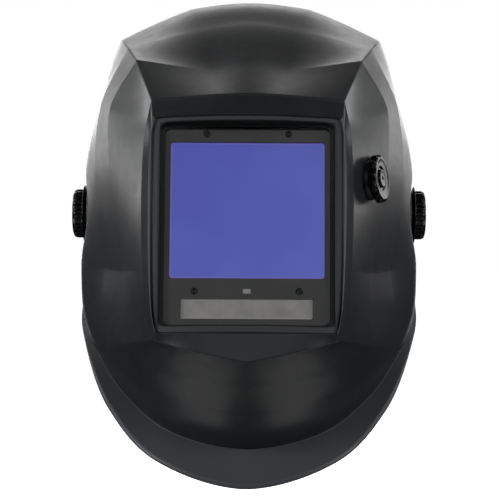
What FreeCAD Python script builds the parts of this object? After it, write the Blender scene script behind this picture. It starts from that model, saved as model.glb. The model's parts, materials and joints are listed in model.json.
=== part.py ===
"""Auto-darkening welding helmet: moulded shell, filter cartridge, pivots and ratchet headgear.

Frame: millimetres, +Z up, the helmet faces -Y. The origin is the middle of the pivot axis, which is
the X axis. "left" and "right" are the wearer's, so left is +X.
"""
import FreeCAD, Part
import math
import os
import Sketcher
from FreeCAD import Vector, Rotation, Placement

doc = FreeCAD.newDocument("WeldingHelmet")

# ---------------------------------------------------------------- driving dimensions

SIZES = [
    # shell
    ("shell_wall", 2.5), ("window_lean", 10.0), ("window_y", -142.0), ("window_z", -7.2),
    ("frame_bow", 230.0), ("aperture_width", 111.0), ("aperture_height", 130.0),
    ("aperture_radius", 5.5), ("seat_depth", 10.5), ("tunnel_wall", 3.0),
    ("pad_radius", 23.0), ("pad_outer", 112.0), ("pad_inner", 108.4), ("pivot_hole_radius", 5.5),
    ("boss_radius", 5.0), ("boss_x", 38.0), ("boss_v", 72.5), ("screw_radius", 1.5),
    # filter cartridge, in the window's own frame
    ("lens_width", 114.0), ("lens_height", 133.0), ("lens_thickness", 1.0),
    ("holder_width", 118.4), ("holder_height", 138.0), ("holder_depth", 14.5),
    ("view_width", 98.0), ("view_height", 88.0), ("view_v", 10.0),
    ("solar_width", 83.0), ("solar_height", 12.8), ("solar_v", -53.4),
    ("sensor_radius", 2.3), ("upper_sensor_x", 26.0), ("upper_sensor_v", 59.3),
    ("lower_sensor_x", 33.0), ("lower_sensor_v", -42.2), ("control_v", -50.0),
    ("sight_half_width", 52.75), ("sight_half_height", 63.75), ("hollow_half_width", 55.2),
    ("hollow_half_height", 64.7), ("cell_x", 40.0), ("cell_radius", 10.0), ("dial_x", 14.0),
    ("cap_radius", 11.0), ("button_radius", 3.0), ("dial_shaft_radius", 2.2), ("dial_radius", 6.5),
    ("latch_low", 12.0), ("latch_high", 28.0), ("latch_inner", 54.3), ("latch_outer", 60.3),
    # the cartridge's layers, as depths behind the window's face
    ("case_front", 12.5), ("sensor_front", 12.8), ("case_front_back", 14.1), ("glass_front", 14.2),
    ("solar_back", 15.2), ("sensor_back", 15.4), ("board_front", 15.6), ("glass_back", 15.7),
    ("shutter_front", 15.8), ("board_back", 17.0), ("cell_front", 17.2), ("case_split", 17.5),
    ("shutter_back", 18.2), ("cell_back", 20.4), ("case_back_front", 20.6), ("case_back", 22.0),
    ("lens_gap_back", 22.2), ("inner_lens_back", 23.2), ("dial_front", 22.3), ("dial_back", 25.5),
    ("latch_front", 25.2), ("latch_back", 27.2),
    # pivots, distances out from the middle of the head
    ("rail_inner", 95.8), ("rail_thickness", 3.0), ("tab_inner", 88.0), ("reach_travel", 10.0),
    ("carriage_inner", 99.0),
    ("carriage_thickness", 3.8), ("stop_inner", 103.0), ("stop_thickness", 2.4),
    ("washer_radius", 20.0), ("friction_thickness", 1.2), ("knob_inner", 113.3),
    ("knob_depth", 9.5), ("knob_radius", 17.0), ("knob_flange_radius", 20.0),
    ("bolt_radius", 4.0), ("square_half", 4.0), ("bolt_head_radius", 9.0), ("bolt_head_inner", 92.6),
    ("bolt_end", 120.5), ("stop_pin_radius", 1.8), ("stop_ring", 15.0), ("stop_slot_radius", 2.3),
    ("stop_disc_radius", 20.0), ("spacer_radius", 12.0), ("spacer_inner", 105.7),
    ("insert_radius", 8.0), ("plate_front", -31.0), ("plate_back", 34.0), ("plate_half", 13.0),
    ("tab_back", -17.0), ("tab_low", 10.0), ("tab_high", 36.0), ("peg_y", -24.0), ("peg_z", -4.2),
    # headgear, in the headband's own tilted frame
    ("band_tilt", 15.0), ("band_z", 14.0), ("band_radius", 78.0), ("band_wall", 2.2),
    ("band_height", 28.0), ("band_end", 42.0), ("rear_centre", 52.0), ("tail_height", 20.0),
    ("tail_radius", 80.6), ("tail_wall", 1.8), ("strap_wall", 1.6), ("strap_width", 16.0),
    ("strap_level", 14.0), ("front_strap_y", -8.0), ("rear_strap_y", 30.0), ("rivet_radius", 2.0),
    ("rivet_y", -24.0), ("low_rivet_z", 15.0), ("high_rivet_z", 29.0), ("ratchet_y", 125.0),
    ("housing_width", 60.0), ("housing_height", 40.0), ("housing_depth", 19.0),
    ("housing_screw_x", 25.0), ("housing_screw_z", 15.0), ("cover_thickness", 3.0),
    ("ratchet_knob_radius", 25.0), ("ratchet_knob_depth", 14.4), ("pinion_radius", 5.0),
    ("shaft_radius", 3.0), ("stud_radius", 2.5), ("sweat_inner", 71.0), ("sweat_half_height", 17.0),
    ("crown_inner", 66.0), ("crown_outer", 72.3), ("nape_inner", 64.0), ("nape_outer", 72.7),
    ("nape_half_height", 22.0),
    # shade control
    ("shade_radius", 16.0), ("shade_depth", 5.6), ("shade_cap_radius", 6.0),
    ("shade_shaft_radius", 3.0), ("pot_radius", 8.5), ("pot_back", -13.0), ("pot_front", -4.0),
    ("bush_radius", 3.5), ("nut_radius", 6.0), ("nut_height", 2.0), ("lead_radius", 1.5),
]

sheet = doc.addObject("Spreadsheet::Sheet", "Sizes")
for row, (alias, value) in enumerate(SIZES, 1):
    sheet.set(f"A{row}", alias)
    sheet.set(f"B{row}", str(value))
    sheet.setAlias(f"B{row}", alias)
doc.recompute()


def size(alias):
    """A driving dimension as a number."""
    return float(getattr(sheet, alias))


# ---------------------------------------------------------------- shell skin

def window_point(x, v):
    """A point of the bowed frame face, x to the side and v up the leaning face."""
    bow = size("frame_bow")
    depth = bow - math.sqrt(bow * bow - x * x)
    lean = math.radians(size("window_lean"))
    y = size("window_y") + depth * math.cos(lean) + v * math.sin(lean)
    z = size("window_z") + v * math.cos(lean) - depth * math.sin(lean)
    return (x, y, z)


# Half rings of the shell, from the window out to the rim. The twelve points of each go from the top
# centre, past the centre panel, shoulder, bend, pivot level, kink and lower corner, to the chin centre.
FRAME_FACE = [(0, 68.7), (19, 68.7), (59.5, 68.7), (60.5, 59), (61, 42), (61, 10), (60, -32),
              (58.5, -56), (56.5, -70), (38, -70), (19, -70), (0, -70)]
BROW = [(0, -134, 71.5), (19.5, -133, 71), (60.2, -125, 68), (63.2, -118.5, 52), (64.6, -121.5, 35),
        (65.1, -127, 3), (63.6, -134, -38), (61, -138.5, -62), (56.2, -146, -80.5),
        (38, -152.5, -85), (19, -156.5, -89.5), (0, -158, -93.5)]
FRONT = [(0, -88, 93), (24, -84, 90.5), (74, -63, 99.5), (90, -72, 67.5), (90.5, -75, 41),
         (86.5, -80, 4), (78.5, -93, -39.5), (80, -94, -64), (80.5, -95, -86), (52, -124, -101),
         (26, -138, -106), (0, -145, -108)]
MIDDLE = [(0, -15, 130), (32.5, -15, 125.5), (83, -17, 112.5), (98, -45, 72), (101.5, -48, 42.5),
          (100, -50, 5.5), (93.5, -58, -38), (94.5, -61, -64), (93.5, -62, -87.5), (63.5, -100, -113),
          (34, -120, -122.5), (0, -129, -126.5)]
SIDE = [(0, 35, 150), (41.5, 38, 146), (91.5, 38, 124), (101, -8, 76), (108.5, -16, 44),
        (111.5, -22, 5.5), (112, -22, -39), (110.5, -20, -66.5), (104, -28, -87.5), (73, -74, -119.5),
        (42, -101, -135.5), (0, -113, -142.5)]
THROAT = [(0, 78, 149), (44.5, 76, 145), (92, 71, 122.5), (102, 62, 75), (109.5, 62, 43),
          (113, 62, 4.5), (115, 56, -40), (115.5, 36, -69.5), (108, 4, -86.5), (81, -50, -124),
          (49, -82, -145.5), (0, -97, -154.5)]
RIM = [(0, 82, 148.5), (44.5, 80, 144.5), (92.5, 75, 122.5), (102.5, 66, 75), (110, 66, 43),
       (113.5, 66, 4.5), (116, 60, -42), (119, 34, -74.5), (113.5, -2, -93), (92.5, -64, -132),
       (62.5, -100, -160), (0, -115, -178.5)]

# How sharply each ring is creased at each of its points, from 0 for smooth to 1 for a fold.
RING_CREASE = {
    "frame": [1, 1, 1, 0.3, 0.3, 0.3, 0.3, 0.3, 1, 1, 1, 1],
    "brow": [1, 1, 1, 1, 1, 1, 1, 1, 1, 1, 1, 1],
    "front": [0, 0, 1, 1, 1, 1, 1, 0.6, 0.3, 0.1, 0, 0],
    "middle": [0, 0, 0.5, 1, 1, 1, 1, 0.6, 0.3, 0, 0, 0],
    "side": [0, 0, 0, 0.2, 0, 0, 0, 0, 0, 0, 0, 0],
    "throat": [0, 0, 0, 0, 0, 0, 0, 0.6, 1, 1, 1, 1],
}
# The same for the spokes that cross the rings: the centre panel, shoulder, kink and lower corner.
SPOKE_CREASE = {
    "frame": {2: 1, 8: 1},
    "brow": {1: 0.4, 2: 1, 8: 1, 11: 0.6},
    "front": {1: 0.6, 2: 1, 6: 0.7, 8: 0.2, 11: 0.3},
    "middle": {1: 0.6, 2: 1, 6: 0.5},
    "side": {1: 0.5, 2: 0.8},
    "throat": {1: 0.3, 2: 0.6},
    "rim": {1: 0.3, 2: 0.6},
}
TANGENT_REACH = 1.25    # a long span beside a short one bulges no more than this times the short one
RING_NAMES = ["opening", "frame", "brow", "front", "middle", "side", "throat", "rim"]


def full_ring(half):
    """The closed ring of a half ring: the half itself, then its mirror image going back up."""
    mirrored = [(-x, y, z) for x, y, z in reversed(half[1:-1])]
    return [Vector(*point) for point in half + mirrored]


def full_values(half):
    return half + half[-2:0:-1]


def vertex_normals(net):
    """Outward normals of a net of rings, from the chords round each vertex."""
    normals = []
    count = len(net[0])
    for r, ring in enumerate(net):
        row_normals = []
        for s in range(count):
            around = ring[(s + 1) % count] - ring[s - 1]
            outer = net[min(r + 1, len(net) - 1)][s]
            inner = net[max(r - 1, 0)][s]
            normal = (outer - inner).cross(around)
            row_normals.append(normal.normalize())
        normals.append(row_normals)
    return normals


def tangents(points, creases, closed):
    """Arriving and leaving tangents at each point of a line, one-sided where it is creased."""
    arriving, leaving = [], []
    last = len(points) - 1
    for i, point in enumerate(points):
        before = point - points[i - 1] if closed or i > 0 else points[1] - point
        after = points[(i + 1) % len(points)] - point if closed or i < last else before
        reach_before, reach_after = before.Length, after.Length
        smooth = (before / reach_before * reach_after + after / reach_after * reach_before)
        smooth = smooth / (reach_before + reach_after)
        crease = creases[i]
        pull_before = min(reach_before, TANGENT_REACH * reach_after)
        pull_after = min(reach_after, TANGENT_REACH * reach_before)
        arriving.append(before * crease + smooth * (pull_before * (1 - crease)))
        leaving.append(after * crease + smooth * (pull_after * (1 - crease)))
    return arriving, leaving


def skin_faces(net, ring_creases, spoke_creases):
    """Bicubic faces over the quads of a net, and the edges of its first and last rings."""
    count = len(net[0])
    along = [tangents(ring, spoke_creases[r], True) for r, ring in enumerate(net)]
    across = []
    for s in range(count):
        line = [ring[s] for ring in net]
        across.append(tangents(line, [crease[s] for crease in ring_creases], False))
    faces = []
    for r in range(len(net) - 1):
        for s in range(count):
            e = (s + 1) % count
            corners = {(0, 0): net[r][s], (3, 0): net[r][e], (0, 3): net[r + 1][s],
                       (3, 3): net[r + 1][e]}
            side_u = {(0, 0): along[r][1][s], (3, 0): -along[r][0][e],
                      (0, 3): along[r + 1][1][s], (3, 3): -along[r + 1][0][e]}
            side_v = {(0, 0): across[s][1][r], (3, 0): across[e][1][r],
                      (0, 3): -across[s][0][r + 1], (3, 3): -across[e][0][r + 1]}
            surface = Part.BezierSurface()
            surface.increase(3, 3)
            for (i, j), corner in corners.items():
                near_i = 1 if i == 0 else 2
                near_j = 1 if j == 0 else 2
                surface.setPole(i + 1, j + 1, corner)
                surface.setPole(near_i + 1, j + 1, corner + side_u[i, j] / 3)
                surface.setPole(i + 1, near_j + 1, corner + side_v[i, j] / 3)
                surface.setPole(near_i + 1, near_j + 1, corner + side_u[i, j] / 3 + side_v[i, j] / 3)
            faces.append(surface.toShape())
    borders = [ring_edges(net[r], along[r]) for r in (0, -1)]
    return faces, borders


def ring_edges(ring, ring_tangents):
    """Cubic edges along one closed ring."""
    edges = []
    arriving, leaving = ring_tangents
    for s, point in enumerate(ring):
        e = (s + 1) % len(ring)
        curve = Part.BezierCurve()
        curve.setPoles([point, point + leaving[s] / 3, ring[e] - arriving[e] / 3, ring[e]])
        edges.append(curve.toShape())
    return edges


def shell_skin():
    """The moulding's wall before its window, pivot pads and bosses."""
    frame = [window_point(x, v) for x, v in FRAME_FACE]
    opening = [window_point(x * 0.7, v * 0.7) for x, v in FRAME_FACE]
    net = [full_ring(half) for half in (opening, frame, BROW, FRONT, MIDDLE, SIDE, THROAT, RIM)]
    plain = [0] * len(FRAME_FACE)
    ring_creases, spoke_creases = [], []
    for name in RING_NAMES:
        ring_creases.append(full_values(RING_CREASE.get(name, plain)))
        creases = SPOKE_CREASE.get(name, SPOKE_CREASE["frame"])
        spoke_creases.append(full_values([creases.get(s, 0) for s in range(len(plain))]))
    normals = vertex_normals(net)
    wall = size("shell_wall")
    inside = [[point - normal * wall for point, normal in zip(ring, row_normals)]
              for ring, row_normals in zip(net, normals)]
    outer_faces, outer_borders = skin_faces(net, ring_creases, spoke_creases)
    inner_faces, inner_borders = skin_faces(inside, ring_creases, spoke_creases)
    faces = outer_faces + inner_faces
    for outer_border, inner_border in zip(outer_borders, inner_borders):
        for outer_edge, inner_edge in zip(outer_border, inner_border):
            faces.append(Part.makeRuledSurface(outer_edge, inner_edge))
    sewn = Part.Compound(faces)
    sewn.sewShape(0.01)
    solid = Part.Solid(sewn.Shells[0])
    if solid.Volume < 0:
        solid.reverse()
    return solid


# ---------------------------------------------------------------- helpers for the parametric pieces

ALIASES = {alias for alias, value in SIZES}
WINDOW = "window"
BAND = "band"
nodes = []


def bound(text):
    """An expression of the sheet: its aliases get the sheet's name in front."""
    words = []
    for word in str(text).replace("(", " ( ").replace(")", " ) ").split():
        words.append(f"Sizes.{word}" if word in ALIASES else word)
    return " ".join(words)


def bind(thing, links):
    for path, text in links.items():
        thing.setExpression(path, bound(text))


def block(name, x, y, z):
    """A block between pairs of limits, each an expression of the sheet."""
    thing = doc.addObject("Part::Box", name)
    links = {}
    for size_name, axis, (low, high) in zip(("Length", "Width", "Height"), "xyz", (x, y, z)):
        links[size_name] = f"( {high} ) - ( {low} )"
        links[f"Placement.Base.{axis}"] = low
    bind(thing, links)
    return thing


TURNS = {"x": Rotation(Vector(0, 1, 0), 90), "y": Rotation(Vector(1, 0, 0), -90), "z": Rotation()}


def rod(name, radius, start, end, at, axis="y", angle=360):
    """A cylinder along an axis from start to end; at gives the other two coordinates."""
    thing = doc.addObject("Part::Cylinder", name)
    thing.Placement = Placement(Vector(), TURNS[axis])
    thing.Angle = angle
    others = [name for name in "xyz" if name != axis]
    links = {"Radius": radius, "Height": f"( {end} ) - ( {start} )", f"Placement.Base.{axis}": start}
    for other, text in zip(others, at):
        links[f"Placement.Base.{other}"] = text
    bind(thing, links)
    return thing


def fuse(name, *parts):
    thing = doc.addObject("Part::MultiFuse", name)
    thing.Shapes = list(parts)
    return thing


def group(name, *parts):
    thing = doc.addObject("Part::Compound", name)
    thing.Links = list(parts)
    return thing


def cut(name, base, *tools):
    thing = doc.addObject("Part::Cut", name)
    thing.Base = base
    thing.Tool = tools[0] if len(tools) == 1 else fuse(f"{name}_tools", *tools)
    return thing


def common(name, base, tool):
    thing = doc.addObject("Part::Common", name)
    thing.Base = base
    thing.Tool = tool
    return thing


def mirror(name, source):
    """The mirror image across the helmet's middle plane."""
    thing = doc.addObject("Part::Mirroring", name)
    thing.Source = source
    thing.Normal = Vector(1, 0, 0)
    return thing


def rounded_block(name, x, y, z, radius, along="y"):
    """A block whose four edges along one axis are rounded."""
    base = block(f"{name}_block", x, y, z)
    doc.recompute()
    direction = {"x": Vector(1, 0, 0), "y": Vector(0, 1, 0), "z": Vector(0, 0, 1)}[along]
    chosen = [i for i, edge in enumerate(base.Shape.Edges, 1)
              if abs(abs(edge.tangentAt(0).dot(direction)) - 1) < 1e-6]
    thing = doc.addObject("Part::Fillet", name)
    thing.Base = base
    thing.Edges = [(i, radius, radius) for i in chosen]
    return thing


def stand(thing, where):
    """Put a piece built in the window's or the headband's own frame where it belongs."""
    if where == WINDOW:
        links = {"Placement.Base.y": "window_y", "Placement.Base.z": "window_z",
                 "Placement.Rotation.Angle": "0 - window_lean"}
        turn = -size("window_lean")
    else:
        links = {"Placement.Base.z": "band_z", "Placement.Rotation.Angle": "0 - band_tilt"}
        turn = -size("band_tilt")
    thing.Placement = Placement(Vector(), Rotation(Vector(1, 0, 0), turn))
    bind(thing, links)
    return thing


def node(label, thing, where=None):
    """Make a piece one of the helmet's nodes; its label names its file."""
    if where:
        thing = stand(group(f"{label}_placed", thing), where)
    thing.Label = label
    nodes.append(thing)
    return thing


def pair(label, left, where=None):
    """A left piece and its mirror image as two nodes."""
    left = node(f"{label}_left", left, where)
    return left, node(f"{label}_right", mirror(f"{label}_mirrored", left))


def four(name, x, z, make):
    """The same piece at the four corners of a rectangle."""
    corners = [(side, level) for side in (1, -1) for level in (1, -1)]
    return [make(f"{name}{i}", f"{side} * {x}", f"{level} * {z}")
            for i, (side, level) in enumerate(corners)]


def origin_plane(body, role):
    return next(f for f in body.Origin.OriginFeatures if f.Role == role)


def sketch_on(body, name, role):
    sketch = body.newObject("Sketcher::SketchObject", name)
    sketch.AttachmentSupport = (origin_plane(body, role), [""])
    sketch.MapMode = "FlatFace"
    return sketch


def circle_sketch(body, name, radius, x="0", role="XY_Plane"):
    """A sketch with one circle on the sketch's X axis."""
    sketch = sketch_on(body, name, role)
    sketch.addGeometry(Part.Circle(Vector(1, 0, 0), Vector(0, 0, 1), 1), False)
    sketch.addConstraint(Sketcher.Constraint("Radius", 0, 1))
    sketch.addConstraint(Sketcher.Constraint("DistanceX", -1, 1, 0, 3, 1))
    sketch.addConstraint(Sketcher.Constraint("DistanceY", -1, 1, 0, 3, 0))
    bind(sketch, {"Constraints[0]": radius, "Constraints[1]": x})
    return sketch


def pad(body, name, sketch, length):
    feature = body.newObject("PartDesign::Pad", name)
    feature.Profile = sketch
    bind(feature, {"Length": length})
    return feature


def through(body, name, sketch):
    """A pocket both ways through everything."""
    feature = body.newObject("PartDesign::Pocket", name)
    feature.Profile = sketch
    feature.Type = "ThroughAll"
    feature.Midplane = True
    return feature


KNOB_FLUTES = 12    # round the tension knobs and the shade knob alike
RATCHET_FLUTES = 14


def fluted_knob(name, radius, depth, flange, flange_depth, flutes, flute, bore):
    """A knob along +Z: fluted round its edge, with a plain flange at its foot and a bore."""
    body = doc.addObject("PartDesign::Body", name)
    pad(body, f"{name}_disc", circle_sketch(body, f"{name}_disc_sketch", radius), depth)
    groove = circle_sketch(body, f"{name}_flute_sketch", flute, f"( {radius} ) + 0.55 * ( {flute} )")
    pocket = through(body, f"{name}_flute", groove)
    pattern = body.newObject("PartDesign::PolarPattern", f"{name}_flutes")
    pattern.Originals = [pocket]
    pattern.Axis = (origin_plane(body, "Z_Axis"), [""])
    pattern.Angle = 360
    pattern.Occurrences = flutes
    body.Tip = pattern
    doc.recompute()
    pad(body, f"{name}_flange", circle_sketch(body, f"{name}_flange_sketch", flange), flange_depth)
    through(body, f"{name}_bore", circle_sketch(body, f"{name}_bore_sketch", bore))
    return body


# ---------------------------------------------------------------- shell

def shell():
    """The moulding with its window tunnel, screw bosses, pivot pads, stop pins and shade hole."""
    skin = doc.addObject("Part::Feature", "shell_skin")
    skin.Shape = shell_skin()
    bow = rod("tunnel_bow", "frame_bow - 0.3", -100, 100, (0, "frame_bow"), "z")
    sides = "( aperture_width / 2 + tunnel_wall )"
    tops = "( aperture_height / 2 + tunnel_wall )"
    block_out = rounded_block("tunnel_out", (f"0 - {sides}", sides), (0, "seat_depth"),
                              (f"0 - {tops}", tops), size("aperture_radius") + size("tunnel_wall"))
    tunnel = stand(common("tunnel", block_out, bow), WINDOW)
    bosses = four("boss", "boss_x", "boss_v",
                  lambda name, x, v: rod(name, "boss_radius", 4.2, "seat_depth", (x, v)))
    bosses = stand(group("bosses", *bosses), WINDOW)
    pads, pins, spaces = [], [], []
    for name, side in (("left", 1), ("right", -1)):
        outer, inner = f"{side} * pad_outer", f"{side} * pad_inner"
        near, far = (inner, outer) if side > 0 else (outer, inner)
        pads.append(rod(f"pad_{name}", "pad_radius", near, far, (0, 0), "x"))
        start, end = (104.0, 109.0) if side > 0 else (-109.0, -104.0)
        pins.append(rod(f"stop_pin_{name}", "stop_pin_radius", start, end, (0, "stop_ring"), "x"))
        start, end = (outer, "pad_outer + 12") if side > 0 else ("0 - pad_outer - 12", outer)
        spaces.append(rod(f"pad_front_{name}", "pad_radius + 1", start, end, (0, 0), "x"))
        start, end = ("pad_inner - 5", inner) if side > 0 else (inner, "0 - pad_inner + 5")
        spaces.append(rod(f"pad_back_{name}", "pad_radius", start, end, (0, 0), "x"))
        start, end = (100, 120) if side > 0 else (-120, -100)
        spaces.append(rod(f"pivot_hole_{name}", "pivot_hole_radius", start, end, (0, 0), "x"))
    shade_seat = on_facet(rod("shade_seat", "shade_radius - 3", -2.2, SHADE_SEAT, (0, 0), "z"))
    wall = fuse("shell_wall_and_pads", skin, tunnel, bosses, shade_seat, *pads)
    half_w, half_v = "aperture_width / 2", "aperture_height / 2"
    aperture = rounded_block("aperture", (f"0 - {half_w}", half_w), (-20, 12),
                             (f"0 - {half_v}", half_v), size("aperture_radius"))
    aperture = stand(aperture, WINDOW)
    screw_holes = four("boss_hole", "boss_x", "boss_v",
                       lambda name, x, v: rod(name, "screw_radius", 5.5, 12, (x, v)))
    screw_holes = stand(group("boss_holes", *screw_holes), WINDOW)
    shade_hole = on_facet(rod("shade_hole", 3.7, -8, 8, (0, 0), "z"))
    opened = cut("shell_opened", wall, aperture, screw_holes, shade_hole, *spaces)
    node("shell", fuse("shell_with_pins", opened, *pins))


def facet_frame():
    """Where the shade control sits on the left facet, with its axis along local +Z."""
    low_in, high_in = Vector(*BROW[5]), Vector(*BROW[4])
    low_out, high_out = Vector(*FRONT[5]), Vector(*FRONT[4])
    inner = low_in + (high_in - low_in) * SHADE_UP
    outer = low_out + (high_out - low_out) * SHADE_UP
    point = inner + (outer - inner) * SHADE_OUT
    normal = (outer - inner).cross((high_in + high_out) - (low_in + low_out)).normalize()
    if normal.x < 0:
        normal = -normal
    axis = (normal + SHADE_LEAN).normalize()
    return point + normal * FACET_BULGE, Rotation(Vector(0, 0, 1), axis)


def on_facet(thing):
    """Carry a piece built along +Z to the shade control's place."""
    point, turn = facet_frame()
    placed = group(f"{thing.Name}_on_facet", thing)
    placed.Placement = Placement(point, turn)
    return placed


# ---------------------------------------------------------------- window and filter cartridge

CASE_RADIUS = 6    # corners of the cartridge, its cover lens and the seat they share


def window_block(name, half_width, depth, v, radius=0):
    """A block across the window: half its width, its depth limits and its v limits."""
    x = (f"0 - ( {half_width} )", half_width)
    if radius:
        return rounded_block(name, x, depth, v, radius)
    return block(name, x, depth, v)


def around(centre, half):
    return (f"{centre} - ( {half} )", f"{centre} + ( {half} )")


def holder():
    """The cover lens, the holder that seats it, and its four screws."""
    lens = window_block("cover_lens", "lens_width / 2", ("seat_depth", "seat_depth + lens_thickness"),
                        around("0", "lens_height / 2"), CASE_RADIUS)
    node("cover_lens_outer", lens, WINDOW)
    back = "seat_depth + holder_depth"
    body = window_block("holder_body", "holder_width / 2", ("seat_depth", back),
                        around("0", "holder_height / 2"), CASE_RADIUS + 4)
    ears = four("ear", "boss_x", "boss_v",
                lambda name, x, v: rod(name, "boss_radius", "seat_depth", "seat_depth + 3", (x, v)))
    recess = window_block("lens_recess", "lens_width / 2 + 0.3",
                          ("seat_depth - 1", "seat_depth + lens_thickness"),
                          around("0", "lens_height / 2 + 0.3"), CASE_RADIUS)
    sight = window_block("holder_sight", "sight_half_width", (5, 20), around("0", "sight_half_height"), 5)
    cavity = window_block("holder_cavity", "lens_width / 2 + 0.4", ("case_front", 30),
                          around("0", "lens_height / 2 + 0.4"), CASE_RADIUS)
    notches = block("latch_notches", (-70, 70), ("case_back", 26), ("latch_low - 1", "latch_high + 1"))
    holes = four("ear_hole", "boss_x", "boss_v",
                 lambda name, x, v: rod(name, "screw_radius + 0.1", 5, 20, (x, v)))
    whole = cut("holder", fuse("holder_and_ears", body, *ears), recess, sight, cavity, notches, *holes)
    node("adf_holder", whole, WINDOW)

    def screw(name, x, v):
        shank = rod(f"{name}_shank", "screw_radius - 0.05", 6, "seat_depth + 3", (x, v))
        head = rod(f"{name}_head", 2.8, "seat_depth + 3", "seat_depth + 5", (x, v))
        return fuse(name, shank, head)

    node("holder_screws", group("screws", *four("screw", "boss_x", "boss_v", screw)), WINDOW)


def cartridge():
    """The filter cartridge: two housings with the glass, shutter, electronics and cells between."""
    case_v = around("0", "lens_height / 2")
    hollow_v = around("0", "hollow_half_height")
    front = window_block("front_case", "lens_width / 2", ("case_front", "case_split"), case_v,
                         CASE_RADIUS)
    hollow = window_block("front_hollow", "hollow_half_width", ("case_front_back", 18), hollow_v,
                          CASE_RADIUS - 1.5)
    view_v = around("view_v", "view_height / 2")
    view = window_block("view", "view_width / 2", (10, 30), view_v, 2)
    solar = window_block("solar_opening", "solar_width / 2", (10, 16),
                         around("solar_v", "solar_height / 2"), 1)
    lamp = window_block("lamp_opening", 2.5, (10, 16), around("lower_sensor_v", 1.5))
    sensors = [("upper_sensor_x", "upper_sensor_v"), ("lower_sensor_x", "lower_sensor_v")]
    holes, eyes = [], []
    for i, (x, v) in enumerate(sensors):
        for side in (1, -1):
            place = (f"{side} * {x}", v)
            holes.append(rod(f"sensor_hole{i}{side + 1}", "sensor_radius + 0.1", 10, 16, place))
            eyes.append(rod(f"sensor{i}{side + 1}", "sensor_radius", "sensor_front", "sensor_back", place))
    node("adf_front_housing", cut("front_housing", front, hollow, view, solar, lamp, *holes), WINDOW)
    node("arc_sensors", group("sensors", *eyes), WINDOW)
    node("status_window", window_block("status", 2.4, ("sensor_front", "sensor_back"),
                                       around("lower_sensor_v", 1.4)), WINDOW)
    glass_v = around("view_v", "view_height / 2 + 2")
    node("adf_filter_glass", window_block("glass", "view_width / 2 + 2",
                                          ("glass_front", "glass_back"), glass_v), WINDOW)
    node("adf_lcd_shutter", window_block("shutter", "view_width / 2 + 2",
                                         ("shutter_front", "shutter_back"), glass_v), WINDOW)
    node("solar_panel", window_block("solar", "solar_width / 2 + 1.5", ("glass_front", "solar_back"),
                                     around("solar_v", "solar_height / 2 + 1.4")), WINDOW)
    node("adf_circuit_board", window_block("board", 50, ("board_front", "board_back"), (-64, -38)),
         WINDOW)
    cells = [rod(f"cell{side + 1}", "cell_radius", "cell_front", "cell_back",
                 (f"{side} * cell_x", "control_v")) for side in (1, -1)]
    node("coin_cells", group("cells", *cells), WINDOW)
    rear = window_block("rear_case", "lens_width / 2", ("case_split", "case_back"), case_v,
                        CASE_RADIUS)
    rear_hollow = window_block("rear_hollow", "hollow_half_width", (17, "case_back_front"), hollow_v,
                               CASE_RADIUS - 1.5)
    rear_view = window_block("rear_view", "view_width / 2", (10, 30), view_v, 2)
    cap_holes = [rod(f"cap_hole{side + 1}", "cap_radius + 0.3", 19, 23,
                     (f"{side} * cell_x", "control_v")) for side in (1, -1)]
    dial_holes = [rod(f"dial_hole{side + 1}", "dial_shaft_radius + 0.1", 19, 23,
                      (f"{side} * dial_x", "control_v")) for side in (1, -1)]
    button_hole = rod("button_hole", "button_radius + 0.3", 19, 23, (0, "control_v"))
    node("adf_rear_housing", cut("rear_housing", rear, rear_hollow, rear_view, button_hole,
                                 *cap_holes, *dial_holes), WINDOW)
    node("inner_cover_lens", window_block("inner_lens", 54, ("lens_gap_back", "inner_lens_back"),
                                          (-37.5, 57.5), 2), WINDOW)


def cartridge_controls():
    """What the wearer works on the cartridge's back: caps, dials, button, and the holder's latches."""
    cap = rod("cap_disc", "cap_radius", "case_back_front", "inner_lens_back", ("cell_x", "control_v"))
    slot = block("cap_slot", around("cell_x", "7"), ("lens_gap_back", 24), around("control_v", "1"))
    pair("battery_cap", cut("battery_cap", cap, slot), WINDOW)
    for label, x in (("sensitivity_dial", "dial_x"), ("delay_dial", "0 - dial_x")):
        disc = rod(f"{label}_disc", "dial_radius", "dial_front", "dial_back", (x, "control_v"))
        shaft = rod(f"{label}_shaft", "dial_shaft_radius", "cell_front + 0.1", 23, (x, "control_v"))
        pointer = block(f"{label}_pointer", around(x, "0.6"), ("dial_back - 0.8", "dial_back + 0.5"),
                        ("control_v + 1.5", "control_v + 7"))
        node(label, cut(f"{label}_whole", fuse(f"{label}_solid", disc, shaft), pointer), WINDOW)
    node("mode_button", rod("button", "button_radius", 19.5, 24, (0, "control_v")), WINDOW)
    along = ("latch_low", "latch_high")
    plate = block("latch_plate", ("latch_inner", "latch_outer"), ("latch_front", "latch_back"), along)
    toe = block("latch_toe", ("latch_inner", "latch_inner + 2.5"),
                ("lens_gap_back", "latch_front + 0.2"), along)
    ridge = block("latch_ridge", ("latch_outer - 2.3", "latch_outer - 0.8"),
                  ("latch_back - 0.2", "latch_back + 1.4"), ("latch_low + 1", "latch_high - 1"))
    pair("holder_latch", fuse("latch", plate, toe, ridge), WINDOW)


# ---------------------------------------------------------------- shade control

SHADE_OUT = 0.54    # how far across the facet the control sits, from the window to the outer crease
SHADE_UP = 0.5      # and how far up it, from the pivot's level to the bend
FACET_BULGE = 2.8   # the wall there stands this far out of the flat between its corners
SHADE_LEAN = Vector(0.036, 0.092, 0.076)    # its axis leans out and up from the facet's normal
SHADE_SEAT = 2.0    # height of the raised round seat that makes up for the lean
SHADE_GAP = 0.4     # the knob turns this far clear of the seat


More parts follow.
